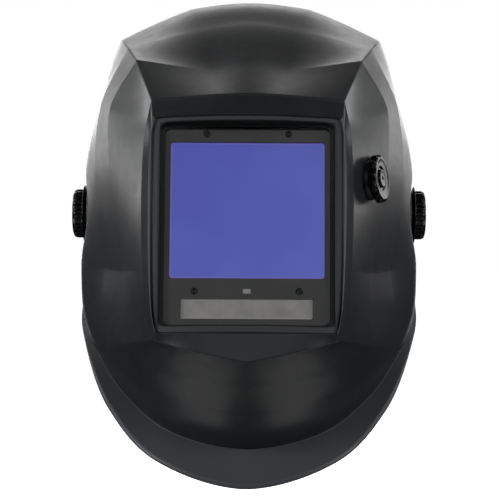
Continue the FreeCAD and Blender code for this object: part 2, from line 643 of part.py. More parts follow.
def shade_control():
    """The outside shade knob on its shaft, and the potentiometer behind the wall that it turns."""
    knob = fluted_knob("shade_disc", "shade_radius", "shade_depth", "shade_radius - 3", 0.8,
                       KNOB_FLUTES, 4, "shade_shaft_radius")
    dish = rod("shade_dish", "shade_radius - 3.5", "shade_depth - 1.2", "shade_depth + 2", (0, 0), "z")
    back = rod("shade_back", 7, -1, 2.6, (0, 0), "z")
    knob = on_facet(cut("shade_knob_body", knob, dish, back))
    node("shade_knob", raise_off(knob))
    cap = rod("shade_cap_disc", "shade_cap_radius", "shade_depth - 1.1", "shade_depth + 0.6", (0, 0),
              "z")
    node("shade_knob_cap", raise_off(on_facet(cap)))
    shaft = rod("shade_shaft_rod", "shade_shaft_radius", "pot_front - 5", "shade_depth - 1.2", (0, 0),
                "z")
    node("shade_shaft", raise_off(on_facet(shaft)))
    can = rod("pot_can", "pot_radius", "pot_back", "pot_front", (0, 0), "z")
    bush = rod("pot_bush", "bush_radius", "pot_front - 0.5", SHADE_SEAT + 2.4, (0, 0), "z")
    bore = rod("pot_bore", "shade_shaft_radius + 0.1", "pot_back + 2.5", SHADE_SEAT + 3, (0, 0), "z")
    node("shade_pot", on_facet(cut("pot", fuse("pot_solid", can, bush), bore)))
    nut_disc = doc.addObject("Part::Prism", "nut_prism")
    nut_disc.Polygon = 6
    nut_disc.Placement = Placement(Vector(0, 0, SHADE_SEAT + 0.1), Rotation())
    bind(nut_disc, {"Circumradius": "nut_radius", "Height": "nut_height"})
    nut_hole = rod("nut_hole", "bush_radius + 0.05", -1, 6, (0, 0), "z")
    node("shade_pot_nut", on_facet(cut("nut", nut_disc, nut_hole)))


def raise_off(placed):
    """Lift a piece of the shade knob clear of its seat."""
    point, turn = facet_frame()
    placed.Placement = Placement(point + turn.multVec(Vector(0, 0, SHADE_SEAT + SHADE_GAP)), turn)
    return placed


def tube(name, points, radius):
    """A round lead of straight runs joined by tangent arcs, along the points of its route."""
    runs = [(b - a).Length for a, b in zip(points, points[1:])]
    edges, start = [], points[0]
    for i in range(1, len(points) - 1):
        before = (points[i - 1] - points[i]).normalize()
        after = (points[i + 1] - points[i]).normalize()
        half_turn = (math.pi - before.getAngle(after)) / 2
        reach = 0.45 * min(runs[i - 1], runs[i])
        bend = reach / math.tan(half_turn)
        enter, leave = points[i] + before * reach, points[i] + after * reach
        to_centre = (before + after).normalize()
        middle = points[i] + to_centre * (bend / math.cos(half_turn) - bend)
        edges.append(Part.LineSegment(start, enter).toShape())
        edges.append(Part.Arc(enter, middle, leave).toShape())
        print(f"{name} bend {i}: radius {bend:.1f}")
        start = leave
    edges.append(Part.LineSegment(start, points[-1]).toShape())
    path = Part.Wire(edges)
    section = Part.Wire(Part.Circle(points[0], points[1] - points[0], radius).toShape())
    thing = doc.addObject("Part::Feature", name)
    thing.Shape = path.makePipeShell([section], True, False)
    print(f"{name}: volume {thing.Shape.Volume:.0f}, section times length "
          f"{math.pi * radius ** 2 * path.Length:.0f}")
    return thing


def shade_lead():
    """The lead inside the shell, from the potentiometer down to the back of the cartridge."""
    point, turn = facet_frame()
    leave_pot = point + turn.multVec(Vector(0, 0, -8.5)) + Vector(0, 0, -8.6)
    lean = math.radians(size("window_lean"))
    inward = Vector(0, math.cos(lean), -math.sin(lean))
    up = Vector(0, math.sin(lean), math.cos(lean))
    entry = Vector(50, size("window_y"), size("window_z")) + inward * 22.05 - up * 41
    route = [leave_pot, leave_pot + Vector(0, 0, -14), Vector(68, -98, -18), Vector(62, -103, -36),
             entry + inward * 14, entry]
    node("shade_lead", tube("shade_lead_tube", route, size("lead_radius")))


# ---------------------------------------------------------------- pivots

def pivots():
    """Both pivots, from the carriage bolt inside to the tension knob outside."""
    rail_out = "rail_inner + rail_thickness"
    tab_y = ("plate_front", "tab_back")
    foot = block("rail_plate", ("rail_inner", rail_out), ("plate_front", "plate_back"),
                 around("0", "plate_half"))
    step = block("rail_step", ("tab_inner", rail_out), tab_y, ("tab_low", "plate_half"))
    tab = block("rail_tab", ("tab_inner", "tab_inner + rail_thickness"), tab_y,
                ("tab_low", "tab_high"))
    bosses = [rod(f"rail_boss{i}", 4.5, 72, "tab_inner + 0.5", ("rivet_y", z), "x")
              for i, z in enumerate(("low_rivet_z", "high_rivet_z"))]
    slot = rounded_block("rail_slot", (90, 105), around("0", "reach_travel + 7"),
                         around("0", "square_half + 0.2"), 4, "x")
    band_space = stand(group("band_space", rod("band_disc", "band_radius + band_wall + 0.1",
                                               -60, 60, (0, 0), "z")), BAND)
    rivet_holes = [rod(f"rail_rivet_hole{i}", "rivet_radius + 0.05", 60, 85.5, ("rivet_y", z), "x")
                   for i, z in enumerate(("low_rivet_z", "high_rivet_z"))]
    rail = cut("rail", fuse("rail_solid", foot, step, tab, *bosses), slot, band_space, *rivet_holes)
    pair("side_rail", rail)

    carriage_out = "carriage_inner + carriage_thickness"
    plate = rounded_block("carriage_plate", ("carriage_inner", carriage_out), (-30, 16), (-14, 14),
                          5, "x")
    fit = around("0", "square_half + 0.05")
    square = block("carriage_square", (95, 110), fit, fit)
    peg = rod("stop_peg", 2.5, "carriage_inner + 1", "stop_inner + stop_thickness - 0.2",
              ("peg_y", "peg_z"), "x")
    pair("carriage", fuse("carriage", cut("carriage_holed", plate, square), peg))

    neck_side = around("0", "square_half")
    head = rod("bolt_head", "bolt_head_radius", "bolt_head_inner", "rail_inner - 0.2", (0, 0), "x")
    neck = block("bolt_neck", ("rail_inner - 0.2", carriage_out), neck_side, neck_side)
    shank = rod("bolt_shank", "bolt_radius", carriage_out, "bolt_end", (0, 0), "x")
    pair("pivot_bolt", fuse("bolt", head, neck, shank))

    stop_out = "stop_inner + stop_thickness"
    disc = rod("stop_disc", "stop_disc_radius", "stop_inner", stop_out, (0, 0), "x")
    lug = block("stop_lug", ("stop_inner", stop_out), (-28, -17), (-1.5, 4.5))
    bore = rod("stop_bore", "bolt_radius + 0.5", 100, 110, (0, 0), "x")
    slots, ring = [], size("stop_ring")
    for degrees in range(-2, 23, 4):
        angle = math.radians(degrees)
        slots.append(rod(f"stop_slot{degrees + 2}", "stop_slot_radius", 100, 110,
                         (-ring * math.sin(angle), ring * math.cos(angle)), "x"))
    pair("tilt_stop_plate", cut("stop_plate", fuse("stop_solid", disc, lug), bore, *slots))

    for label, radius, start, end in (("spacer_washer", "spacer_radius", "spacer_inner",
                                       "pad_inner - 0.1"),
                                      ("friction_washer", "washer_radius", "pad_outer",
                                       "pad_outer + friction_thickness")):
        disc = rod(f"{label}_disc", radius, start, end, (0, 0), "x")
        hole = rod(f"{label}_hole", "bolt_radius + 0.4", 100, 120, (0, 0), "x")
        pair(label, cut(label, disc, hole))

    knob = fluted_knob("tension", "knob_radius", "knob_depth", "knob_flange_radius", 1.6,
                       KNOB_FLUTES, 3.4, 4.3)
    seat = rod("insert_seat", "insert_radius", -1, 7.2, (0, 0), "z")
    knob = cut("tension_knob", knob, seat)
    knob.Placement = Placement(Vector(), TURNS["x"])
    bind(knob, {"Placement.Base.x": "knob_inner"})
    pair("tension_knob", knob)
    insert = rod("insert_disc", "insert_radius - 0.05", "knob_inner + 0.2", "knob_inner + 7.1", (0, 0), "x")
    thread = rod("insert_thread", "bolt_radius + 0.05", 100, 130, (0, 0), "x")
    pair("knob_insert", cut("insert", insert, thread))


# ---------------------------------------------------------------- headgear

def arc_band(name, inner, outer, low, high, centre, start, sweep):
    """A curved strip standing along Z: its radii, height limits, centre's y and angles."""
    sector = rod(f"{name}_sector", outer, low, high, (0, centre), "z", sweep)
    sector.Placement.Rotation = Rotation(Vector(0, 0, 1), start)
    core = rod(f"{name}_core", inner, f"{low} - 1", f"{high} + 1", (0, centre), "z")
    return cut(name, sector, core)


STRAPS = (("front", "front_strap_y", 76.0), ("rear", "rear_strap_y", 77.7))


def studs(radius, grow):
    """The straps' fixings: one through the band at each lower end, one where the halves cross."""
    made = []
    for name, y, outer in STRAPS:
        for side in (1, -1):
            start, end = (71.5, 80.2 + grow) if side > 0 else (-80.2 - grow, -71.5)
            made.append(rod(f"{name}_stud{side + 1}_{grow}", radius, start, end, (y, 0), "x"))
        made.append(rod(f"{name}_top_stud_{grow}", radius, f"strap_level + {outer - 3.5 - grow}",
                        f"strap_level + {outer + 0.4 + grow}", (0, y), "z"))
    return made


def headband():
    """The front band and its sides, the sweatband, rivets, crown straps with studs, and crown pad."""
    low, high = "0 - band_height / 2", "band_height / 2"
    bow = arc_band("band_bow", "band_radius", "band_radius + band_wall", low, high, 0, 180, 180)
    sides = [block(f"band_side{side + 1}", x, (0, "band_end"), (low, high))
             for side, x in ((1, ("band_radius", "band_radius + band_wall")),
                             (-1, ("0 - band_radius - band_wall", "0 - band_radius")))]
    band = stand(cut("band", fuse("band_solid", bow, *sides), *studs("stud_radius + 0.05", 1)), BAND)
    rivet_places = [(f"{side} * 1", z) for side in (1, -1) for z in ("low_rivet_z", "high_rivet_z")]
    holes, rivets = [], []
    for i, (side, z) in enumerate(rivet_places):
        spans = [(60, 86), (71.5, 85), (70, 71.7)]
        if side.startswith("-"):
            spans = [(-end, -start) for start, end in spans]
        at = ("rivet_y", z)
        holes.append(rod(f"rivet_hole{i}", "rivet_radius + 0.05", *spans[0], at, "x"))
        shank = rod(f"rivet_shank{i}", "rivet_radius", *spans[1], at, "x")
        rivets.append(fuse(f"rivet{i}", shank, rod(f"rivet_head{i}", 3.5, *spans[2], at, "x")))
    node("headband_front", cut("headband", band, *holes))
    node("headband_rivets", group("rivets", *rivets))
    node("sweatband", arc_band("sweat", "sweat_inner", "band_radius - 0.3",
                               *around("0", "sweat_half_height"), 0, 212, 116), BAND)

    for name, y, outer in STRAPS:
        for side, label in ((1, "left"), (-1, "right")):
            reach = outer if side > 0 else outer - 1.8
            turn = Rotation(Vector(1, 0, 0), -90)
            half = doc.addObject("Part::Cylinder", f"{name}_{label}_arc")
            core = doc.addObject("Part::Cylinder", f"{name}_{label}_core")
            for piece, radius, extra in ((half, reach, 0), (core, f"{reach} - strap_wall", 1)):
                piece.Placement = Placement(Vector(), turn)
                bind(piece, {"Radius": radius, "Height": f"strap_width + {2 * extra}",
                             "Placement.Base.y": f"{y} - strap_width / 2 - {extra}",
                             "Placement.Base.z": "strap_level"})
            limits = (-14, 90) if side > 0 else (-90, 14)
            keep = block(f"{name}_{label}_keep", limits, (-60, 60), ("strap_level", 120))
            arch = common(f"{name}_{label}_arch", cut(f"{name}_{label}_ring", half, core), keep)
            x = (f"{reach} - strap_wall", reach)
            if side < 0:
                x = (-reach, f"strap_wall - {reach}")
            leg = block(f"{name}_{label}_leg", x, around(y, "strap_width / 2"), (-8, "strap_level"))
            holed = cut(f"{name}_{label}_strap", fuse(f"{name}_{label}_solid", arch, leg),
                        *studs_for(name, label))
            node(f"crown_strap_{name}_{label}", holed, BAND)
    node("strap_studs", group("studs", *studs("stud_radius", 0)), BAND)
    pad_out = rod("crown_out", "crown_outer", -18, 42, (0, "strap_level"))
    pad_in = rod("crown_in", "crown_inner", -19, 43, (0, "strap_level"))
    wedge = block("crown_keep", (-30, 30), (-60, 60), (60, 120))
    node("crown_pad", common("crown", cut("crown_ring", pad_out, pad_in), wedge), BAND)


def studs_for(name, label):
    """The stud holes of one strap half."""
    y, outer = next((y, outer) for strap, y, outer in STRAPS if strap == name)
    x = (60, 90) if label == "left" else (-90, -60)
    side_hole = rod(f"{name}_{label}_side_hole", "stud_radius + 0.05", *x, (y, 0), "x")
    top_hole = rod(f"{name}_{label}_top_hole", "stud_radius + 0.05", 60, 120, (0, y), "z")
    return side_hole, top_hole


def ratchet():
    """The nape strap's tails, and the ratchet that draws them together."""
    outer = "tail_radius + tail_wall"
    for label, low, high in (("left", 5.2, 10), ("right", -10, -5.2)):
        bend = arc_band(f"tail_bend_{label}", "tail_radius", outer, "0 - tail_height / 2",
                        "tail_height / 2", "rear_centre", 0, 78)
        rack = arc_band(f"tail_rack_{label}", "tail_radius", outer, low, high, "rear_centre", 0, 101)
        side = block(f"tail_side_{label}", ("tail_radius", outer), (14, "rear_centre"),
                     ("0 - tail_height / 2", "tail_height / 2"))
        tail = fuse(f"tail_{label}", bend, rack, side)
        if label == "right":
            tail = mirror("tail_mirrored", tail)
        node(f"strap_tail_{label}", tail, BAND)
    back = "ratchet_y + housing_depth"
    cover_back = f"{back} + cover_thickness"
    screw_x, screw_z = "housing_screw_x", "housing_screw_z"
    case_x, case_z = around("0", "housing_width / 2"), around("0", "housing_height / 2")
    case = rounded_block("ratchet_case", case_x, ("ratchet_y", back), case_z, 9)
    tail_space = arc_band("tail_space", "tail_radius - 0.4", f"{outer} + 0.4", -10.4, 10.4,
                          "rear_centre", 0, 180)
    pinion_space = rod("pinion_space", "pinion_radius + 0.2", "ratchet_y + 4", f"{back} + 1", (0, 0))

    def screw_hole(name, x, z):
        return rod(name, 1.3, f"{back} - 7", f"{back} + 10", (x, z))

    holes = four("case_hole", screw_x, screw_z, screw_hole)
    node("ratchet_housing", cut("housing", case, tail_space, pinion_space, *holes), BAND)
    cover = rounded_block("cover_plate", case_x, (back, cover_back), case_z, 9)
    cover_holes = four("cover_hole", screw_x, screw_z, screw_hole)
    shaft_hole = rod("shaft_hole", "shaft_radius + 0.1", back, f"{cover_back} + 1", (0, 0))
    node("ratchet_cover", cut("cover", cover, shaft_hole, *cover_holes), BAND)

    def cover_screw(name, x, z):
        shank = rod(f"{name}_shank", 1.25, f"{back} - 6", cover_back, (x, z))
        head = rod(f"{name}_head", 2.6, cover_back, f"{cover_back} + 1.6", (x, z))
        return fuse(name, shank, head)

    screws = four("case_screw", screw_x, screw_z, cover_screw)
    node("cover_screws", group("case_screws", *screws), BAND)
    gear = rod("pinion_gear", "pinion_radius", "ratchet_y + 5", f"{back} - 0.4", (0, 0))
    shaft = rod("pinion_shaft", "shaft_radius", f"{back} - 1", f"{back} + 8", (0, 0))
    node("ratchet_pinion", fuse("pinion", gear, shaft), BAND)
    knob = fluted_knob("ratchet_disc", "ratchet_knob_radius", "ratchet_knob_depth",
                       "ratchet_knob_radius - 3", 0.6, RATCHET_FLUTES, 5, "shaft_radius + 0.05")
    knob.Placement = Placement(Vector(), TURNS["y"])
    bind(knob, {"Placement.Base.y": f"{cover_back} + 0.6"})
    node("ratchet_knob", knob, BAND)
    node("nape_pad", arc_band("nape", "nape_inner", "nape_outer", *around("0", "nape_half_height"),
                              "rear_centre", 68, 44), BAND)


# ---------------------------------------------------------------- build, check and write

shell()
holder()
cartridge()
cartridge_controls()
shade_control()
shade_lead()
pivots()
headband()
ratchet()
doc.recompute()

for thing in doc.Objects:
    if "Invalid" in thing.State or "Error" in thing.State:
        raise RuntimeError(f"{thing.Name} failed: {thing.State}")
for thing in nodes:
    if thing.Shape.isNull() or not thing.Shape.isValid() or thing.Shape.Volume <= 0:
        raise RuntimeError(f"{thing.Label} has no valid solid")

os.makedirs("parts", exist_ok=True)
for thing in nodes:
    thing.Shape.exportStep(f"parts/{thing.Label}.step")
print(f"{len(nodes)} nodes written")
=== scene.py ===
"""Looks of the welding helmet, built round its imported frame.

Frame: metres, +Z up, the helmet faces -Y, origin in the middle of the pivot axis. The studio's sizes are
in metres, and all others in millimetres, which become metres as each mesh is made. "left" is the wearer's
left, +X.
"""
import bmesh
import bpy
import json
import math
import numpy as np
from mathutils import Matrix, Vector


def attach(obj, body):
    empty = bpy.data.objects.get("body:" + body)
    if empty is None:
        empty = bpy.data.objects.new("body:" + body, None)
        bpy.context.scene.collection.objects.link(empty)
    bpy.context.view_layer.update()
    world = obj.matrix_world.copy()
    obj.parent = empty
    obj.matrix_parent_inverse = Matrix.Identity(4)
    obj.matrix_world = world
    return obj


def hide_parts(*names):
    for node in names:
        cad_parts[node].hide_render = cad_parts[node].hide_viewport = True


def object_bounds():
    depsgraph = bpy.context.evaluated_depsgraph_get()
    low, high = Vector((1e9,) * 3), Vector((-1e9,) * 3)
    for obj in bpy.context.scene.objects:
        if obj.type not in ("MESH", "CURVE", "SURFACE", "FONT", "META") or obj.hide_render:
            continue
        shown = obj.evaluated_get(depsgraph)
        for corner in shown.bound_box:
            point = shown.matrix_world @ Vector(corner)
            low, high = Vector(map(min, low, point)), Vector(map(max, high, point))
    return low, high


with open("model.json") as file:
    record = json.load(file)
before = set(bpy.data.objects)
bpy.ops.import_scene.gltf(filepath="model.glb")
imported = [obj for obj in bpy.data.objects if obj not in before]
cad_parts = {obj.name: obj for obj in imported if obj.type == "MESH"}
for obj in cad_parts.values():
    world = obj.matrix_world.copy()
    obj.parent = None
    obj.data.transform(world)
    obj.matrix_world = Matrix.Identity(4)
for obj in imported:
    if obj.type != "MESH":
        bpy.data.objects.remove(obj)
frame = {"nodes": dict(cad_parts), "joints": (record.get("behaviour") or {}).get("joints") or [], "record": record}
cad_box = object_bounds()
cad_nodes = frame["nodes"]
slot_of = {part["node"]: part["material_slot"] for part in frame["record"]["subparts"]}
body_of = {node: body for body, members in frame["record"]["behaviour"]["bodies"].items()
           for node in members}
MM = 0.001
SIDES = (("left", 1), ("right", -1))

# ---------------- materials

NOISE_LOW, NOISE_HIGH = 0.3, 0.7  # noise mostly lies between these
CLOUD_PITCH, GLOSS_PITCH = 22, 7  # lumps of colour and of gloss in moulded plastic, in millimetres
SPECULAR = 0.5  # the shader's own level of shine
TEXTURE = "texture"  # the shell mesh's record of how textured each point is
LIP_TEXTURE, FRAME_TEXTURE = 1.0, 0.45


def put(socket, value):
    """Give a socket a plain value, or link another node's output to it."""
    if isinstance(value, bpy.types.NodeSocket):
        socket.id_data.links.new(value, socket)
    else:
        socket.default_value = value


def add(tree, kind, inputs=None, **settings):
    """A new shader node with its settings and its inputs, each a value or another node's output."""
    made = tree.nodes.new("ShaderNode" + kind)
    for name, value in settings.items():
        setattr(made, name, value)
    for name, value in (inputs or {}).items():
        put(made.inputs[name], value)
    return made


def principled(name, base, roughness, **sockets):
    """A material with one Principled shader and its plain values; returns it with its tree and shader."""
    material = bpy.data.materials.new(name)
    material.use_nodes = True
    tree = material.node_tree
    shader = tree.nodes["Principled BSDF"]
    values = {"Base Color": (*base, 1), "Roughness": roughness, **sockets}
    for socket, value in values.items():
        shader.inputs[socket].default_value = value
    return material, tree, shader


def maths(tree, operation, *values):
    """A Math node over outputs and plain numbers."""
    return add(tree, "Math", dict(enumerate(values)), operation=operation).outputs["Value"]


def mixed(tree, factor, low, high):
    """A colour that goes from low to high as factor goes from 0 to 1."""
    return add(tree, "Mix", {0: factor, 6: low, 7: high}, data_type="RGBA").outputs[2]


def colour_ramp(tree, value, *stops):
    """A colour that runs through two (position, colour) stops as value rises."""
    ramp = add(tree, "ValToRGB", {"Fac": value})
    for element, (position, colour) in zip(ramp.color_ramp.elements, stops):
        element.position, element.color = position, (*colour, 1)
    return ramp.outputs["Color"]


def object_noise(tree, pitch, detail=2.0, stretch=(1, 1, 1)):
    """Noise in the object's own frame, with lumps pitch millimetres apart."""
    coords = add(tree, "TexCoord").outputs["Object"]
    mapping = add(tree, "Mapping", {"Vector": coords, "Scale": stretch})
    inputs = {"Vector": mapping.outputs["Vector"], "Scale": 1 / (pitch * MM), "Detail": detail}
    return add(tree, "TexNoise", inputs).outputs["Fac"]


def spread(tree, value, low, high):
    """Map noise to low..high."""
    inputs = {"Value": value, "From Min": NOISE_LOW, "From Max": NOISE_HIGH, "To Min": low, "To Max": high}
    return add(tree, "MapRange", inputs).outputs["Result"]


def tint(shader, base, value, share):
    """Vary the base colour by share either way as value goes through the noise's range."""
    dark, pale = ([c * (1 + way * share) for c in base] for way in (-1, 1))
    tree = shader.id_data
    put(shader.inputs["Base Color"], colour_ramp(tree, value, (NOISE_LOW, dark), (NOISE_HIGH, pale)))


def bump(shader, value, depth, strength=1.0):
    """Relief depth millimetres deep."""
    relief = add(shader.id_data, "Bump", {"Height": value, "Strength": strength, "Distance": depth * MM})
    put(shader.inputs["Normal"], relief.outputs["Normal"])


def moulded(name, base, roughness, grain=0.5, grain_depth=0.02, mottle=0.12, gloss_spread=0.05,
            **sockets):
    """Moulded plastic: faintly cloudy colour, uneven gloss and a fine grain."""
    material, tree, shader = principled(name, base, roughness, **sockets)
    tint(shader, base, object_noise(tree, CLOUD_PITCH, 3), mottle)
    low, high = roughness - gloss_spread, roughness + gloss_spread
    put(shader.inputs["Roughness"], spread(tree, object_noise(tree, GLOSS_PITCH, 4), low, high))
    bump(shader, object_noise(tree, grain, 2), grain_depth)
    return material


def opened(material):
    """A finished material's tree and Principled shader, and what feeds a socket of the shader."""
    tree = material.node_tree
    shader = tree.nodes["Principled BSDF"]
    return tree, shader, lambda socket: shader.inputs[socket].links[0].from_socket


def metal(name, base, roughness, stretch=(1, 1, 1)):
    """Plated or machined metal with fine drawn lines along the unstretched way."""
    material, tree, shader = principled(name, base, roughness, Metallic=1.0)
    lines = object_noise(tree, 2.5, 4, stretch)
    tint(shader, base, object_noise(tree, 4, 3), 0.12)
    put(shader.inputs["Roughness"], spread(tree, lines, roughness - 0.08, roughness + 0.12))
    bump(shader, lines, 0.01)
    return material


def window_coordinates(tree):
    """The window's own x and v, in millimetres, as two outputs."""
    coords = add(tree, "TexCoord").outputs["Object"]
    inputs = {"Vector": coords, "Rotation": (WINDOW_LEAN, 0, 0), "Scale": (1 / MM, 1 / MM, 1 / MM)}
    upright = add(tree, "Mapping", inputs).outputs["Vector"]
    split = add(tree, "SeparateXYZ", {"Vector": upright})
    return split.outputs["X"], maths(tree, "SUBTRACT", split.outputs["Z"], WINDOW_LEVEL)


def edge_distance(tree, width, height, middle):
    """How far inside a rectangle of the window a point is, in millimetres."""
    x, v = window_coordinates(tree)
    to_side = maths(tree, "SUBTRACT", width / 2, maths(tree, "ABSOLUTE", x))
    to_end = maths(tree, "SUBTRACT", height / 2,
                   maths(tree, "ABSOLUTE", maths(tree, "SUBTRACT", v, middle)))
    return maths(tree, "MINIMUM", to_side, to_end)


def filter_glass():
    """The filter's mirror-coated glass: blue, with a brighter violet rim and a slight cast across it."""
    material, tree, shader = principled("filter_blue", (0.20, 0.235, 0.93), 0.30, Metallic=0.92)
    x, v = window_coordinates(tree)
    cast = maths(tree, "ADD", maths(tree, "MULTIPLY", x, 0.0035), maths(tree, "MULTIPLY", v, -0.0045))
    cloud = maths(tree, "ADD", cast, object_noise(tree, 45, 2))
    blue = colour_ramp(tree, cloud, (0.2, (0.185, 0.205, 0.88)), (0.85, (0.215, 0.265, 0.96)))
    inside = edge_distance(tree, VIEW_WIDTH, VIEW_HEIGHT, VIEW_V)
    fade = {"Value": inside, "From Min": 0.5, "From Max": 1.6, "To Min": 1, "To Max": 0}
    rim = add(tree, "MapRange", fade).outputs["Result"]
    put(shader.inputs["Base Color"], mixed(tree, rim, blue, (0.34, 0.26, 1.0, 1)))
    return material


def solar_film():
    """The solar strip: grey cells with fine upright lines and a paler border under a clear film."""
    base = (0.55, 0.515, 0.50)
    material, tree, shader = principled("solar_cell", base, 0.42, Metallic=0.35)
    shader.inputs["Coat Weight"].default_value = 0.3
    x, _ = window_coordinates(tree)
    wave = maths(tree, "FRACT", maths(tree, "MULTIPLY", x, 1 / 3.4))
    line = maths(tree, "LESS_THAN", wave, 0.09)
    cloud = maths(tree, "SUBTRACT", object_noise(tree, 9, 3), maths(tree, "MULTIPLY", line, 0.12))
    border = maths(tree, "LESS_THAN", edge_distance(tree, SOLAR_WIDTH, SOLAR_HEIGHT, SOLAR_V), 1.1)
    shade = maths(tree, "ADD", cloud, maths(tree, "MULTIPLY", border, 0.3))
    tint(shader, base, shade, 0.13)
    bump(shader, wave, 0.02, 0.3)
    return material


def shell_plastic():
    """The shell's satin black, paler where it is textured, with its shine cut on the window tunnel's walls as
    painted shade in that recess.
    """
    material = moulded("shell_black", (0.0165, 0.0178, 0.0200), 0.34, 0.6, 0.010, 0.10, 0.03)
    tree, shader, feed = opened(material)
    # Painted shade: inside the aperture the shine is cut so the tunnel's walls stay dark like a shaded recess.
    within = edge_distance(tree, APERTURE_WIDTH + 0.6, APERTURE_HEIGHT + 0.6, 0)
    tunnel_shade_dulling = maths(tree, "MULTIPLY", maths(tree, "GREATER_THAN", within, 0), 0.46)
    put(shader.inputs["Specular IOR Level"], maths(tree, "SUBTRACT", SPECULAR, tunnel_shade_dulling))

    texture = add(tree, "Attribute", attribute_name=TEXTURE).outputs["Fac"]
    rougher = maths(tree, "ADD", feed("Roughness"), maths(tree, "MULTIPLY", texture, 0.14))
    put(shader.inputs["Roughness"], rougher)
    paler = mixed(tree, texture, feed("Base Color"), (0.058, 0.061, 0.068, 1))
    put(shader.inputs["Base Color"], paler)
    return material


def panel_plastic():
    """The cartridge's dark face, with a near-black margin all round it that gives no shine: painted shade of the
    gap between the face and the frame.
    """
    material = moulded("cartridge_black", (0.088, 0.082, 0.081), 0.45, 0.45, 0.008)
    tree, shader, feed = opened(material)
    x, v = window_coordinates(tree)
    squares = []
    for place, middle, half in ((x, 0, FACE_HALF_WIDTH), (v, FACE_MIDDLE, FACE_HALF_HEIGHT)):
        off = maths(tree, "ABSOLUTE", maths(tree, "SUBTRACT", place, middle))
        past = maths(tree, "MAXIMUM", maths(tree, "SUBTRACT", off, half - FACE_CORNER), 0)
        squares.append(maths(tree, "MULTIPLY", past, past))
    reach = maths(tree, "SQRT", maths(tree, "ADD", *squares))
    face = maths(tree, "LESS_THAN", reach, FACE_CORNER)
    # Painted shade: outside the face's rounded outline the colour is near black and the shine is cut, standing in
    # for the shaded gap.
    put(shader.inputs["Specular IOR Level"], maths(tree, "MULTIPLY", face, SPECULAR))
    gap_shade_black = (0.002, 0.002, 0.002, 1)
    put(shader.inputs["Base Color"], mixed(tree, face, gap_shade_black, feed("Base Color")))
    return material


def clear_plate():
    """Thin clear polycarbonate: see-through, with a faint mirror sheen at a slant."""
    material, tree, shader = principled("clear_lens", (0.92, 0.94, 0.96), 0.05)
    clear = add(tree, "BsdfTransparent", {"Color": (0.97, 0.98, 0.98, 1)})
    smears = spread(tree, object_noise(tree, 30, 4), 0.02, 0.08)
    gloss = add(tree, "BsdfGlossy", {"Color": (0.9, 0.93, 0.97, 1), "Roughness": smears})
    slant = add(tree, "Fresnel", {"IOR": 1.18}).outputs["Fac"]
    mix = add(tree, "MixShader", {0: slant, 1: clear.outputs["BSDF"], 2: gloss.outputs["BSDF"]})
    put(tree.nodes["Material Output"].inputs["Surface"], mix.outputs["Shader"])
    tree.nodes.remove(shader)
    return material


def woven(name, base, pitch, relief):
    """Cloth over foam: a plain weave of pitch millimetres with fuzz, its colour darker where the weave and fuzz
    lie low, as painted shade in the hollows.
    """
    sheen = {"Sheen Weight": 0.35, "Sheen Roughness": 0.5}
    material, tree, shader = principled(name, base, 0.9, **sheen)
    coords = add(tree, "TexCoord").outputs["Object"]
    inputs = {"Vector": coords, "Scale": 0.5 / (pitch * MM) / math.pi, "Distortion": 0.6, "Detail": 1.0}
    waves = [add(tree, "TexWave", inputs, bands_direction=way).outputs["Fac"] for way in "XZ"]
    fuzz = maths(tree, "MULTIPLY", object_noise(tree, 0.7, 5), 0.8)
    height = maths(tree, "ADD", maths(tree, "MULTIPLY", *waves), fuzz)
    # Painted shade: the colour follows the relief, darker in the weave's hollows.
    tint(shader, base, maths(tree, "MULTIPLY", height, 0.6), 0.35)
    bump(shader, height, relief)
    return material


# ---------------- sizes of the window and the shell

WINDOW_Y, WINDOW_Z = -142.0, -7.2
WINDOW_LEAN = math.radians(10)
WINDOW_IN = np.array([0, math.cos(WINDOW_LEAN), -math.sin(WINDOW_LEAN)])
WINDOW_UP = np.array([0, math.sin(WINDOW_LEAN), math.cos(WINDOW_LEAN)])
WINDOW_BASE = np.array([0, WINDOW_Y, WINDOW_Z])
WINDOW_LEVEL = float(WINDOW_BASE @ WINDOW_UP)
FRAME_BOW = 230.0
APERTURE_WIDTH, APERTURE_HEIGHT, APERTURE_RADIUS = 111.0, 130.0, 5.5
SEAT_DEPTH, TUNNEL_WALL, SHELL_WALL = 10.5, 3.0, 2.5
VIEW_WIDTH, VIEW_HEIGHT, VIEW_V = 98.0, 88.0, 10.0
SOLAR_WIDTH, SOLAR_HEIGHT, SOLAR_V = 83.0, 12.8, -53.4
FACE_HALF_WIDTH, FACE_MIDDLE, FACE_HALF_HEIGHT, FACE_CORNER = 52.4, -1.2, 63.0, 3.5
PAD_RADIUS, PAD_OUTER, PAD_INNER = 23.0, 112.0, 108.4
PAD_ZONE = 90.0  # only the wall further out than this is pressed flat
PAD_MARGIN, PAD_EASE = 1.5, 7.0  # the flat passes the pad's disc by this, then eases over this
PAD_SINK_OUTER, PAD_SINK_INNER = 0.35, 0.15  # how far the flat lies within the disc's two faces


def in_window(x, depth, v):
    """Points of the window's own frame in the helmet's, in millimetres."""
    x, depth, v = np.broadcast_arrays(*(np.asarray(a, float) for a in (x, depth, v)))
    side = np.zeros(x.shape + (3,))
    side[..., 0] = x
    return WINDOW_BASE + side + depth[..., None] * WINDOW_IN + v[..., None] * WINDOW_UP


def bow_depth(x):
    """How far the bowed frame face lies back at x to the side."""
    return FRAME_BOW - np.sqrt(FRAME_BOW ** 2 - np.asarray(x, float) ** 2)


# ---------------- mesh helpers

def quads(rows, columns, close_rows=True, close_columns=True):
    """Faces of a grid of rows by columns."""
    faces = []
    for r in range(rows if close_rows else rows - 1):
        for c in range(columns if close_columns else columns - 1):
            r2, c2 = (r + 1) % rows, (c + 1) % columns
            faces.append((r * columns + c, r * columns + c2, r2 * columns + c2, r2 * columns + c))
    return faces


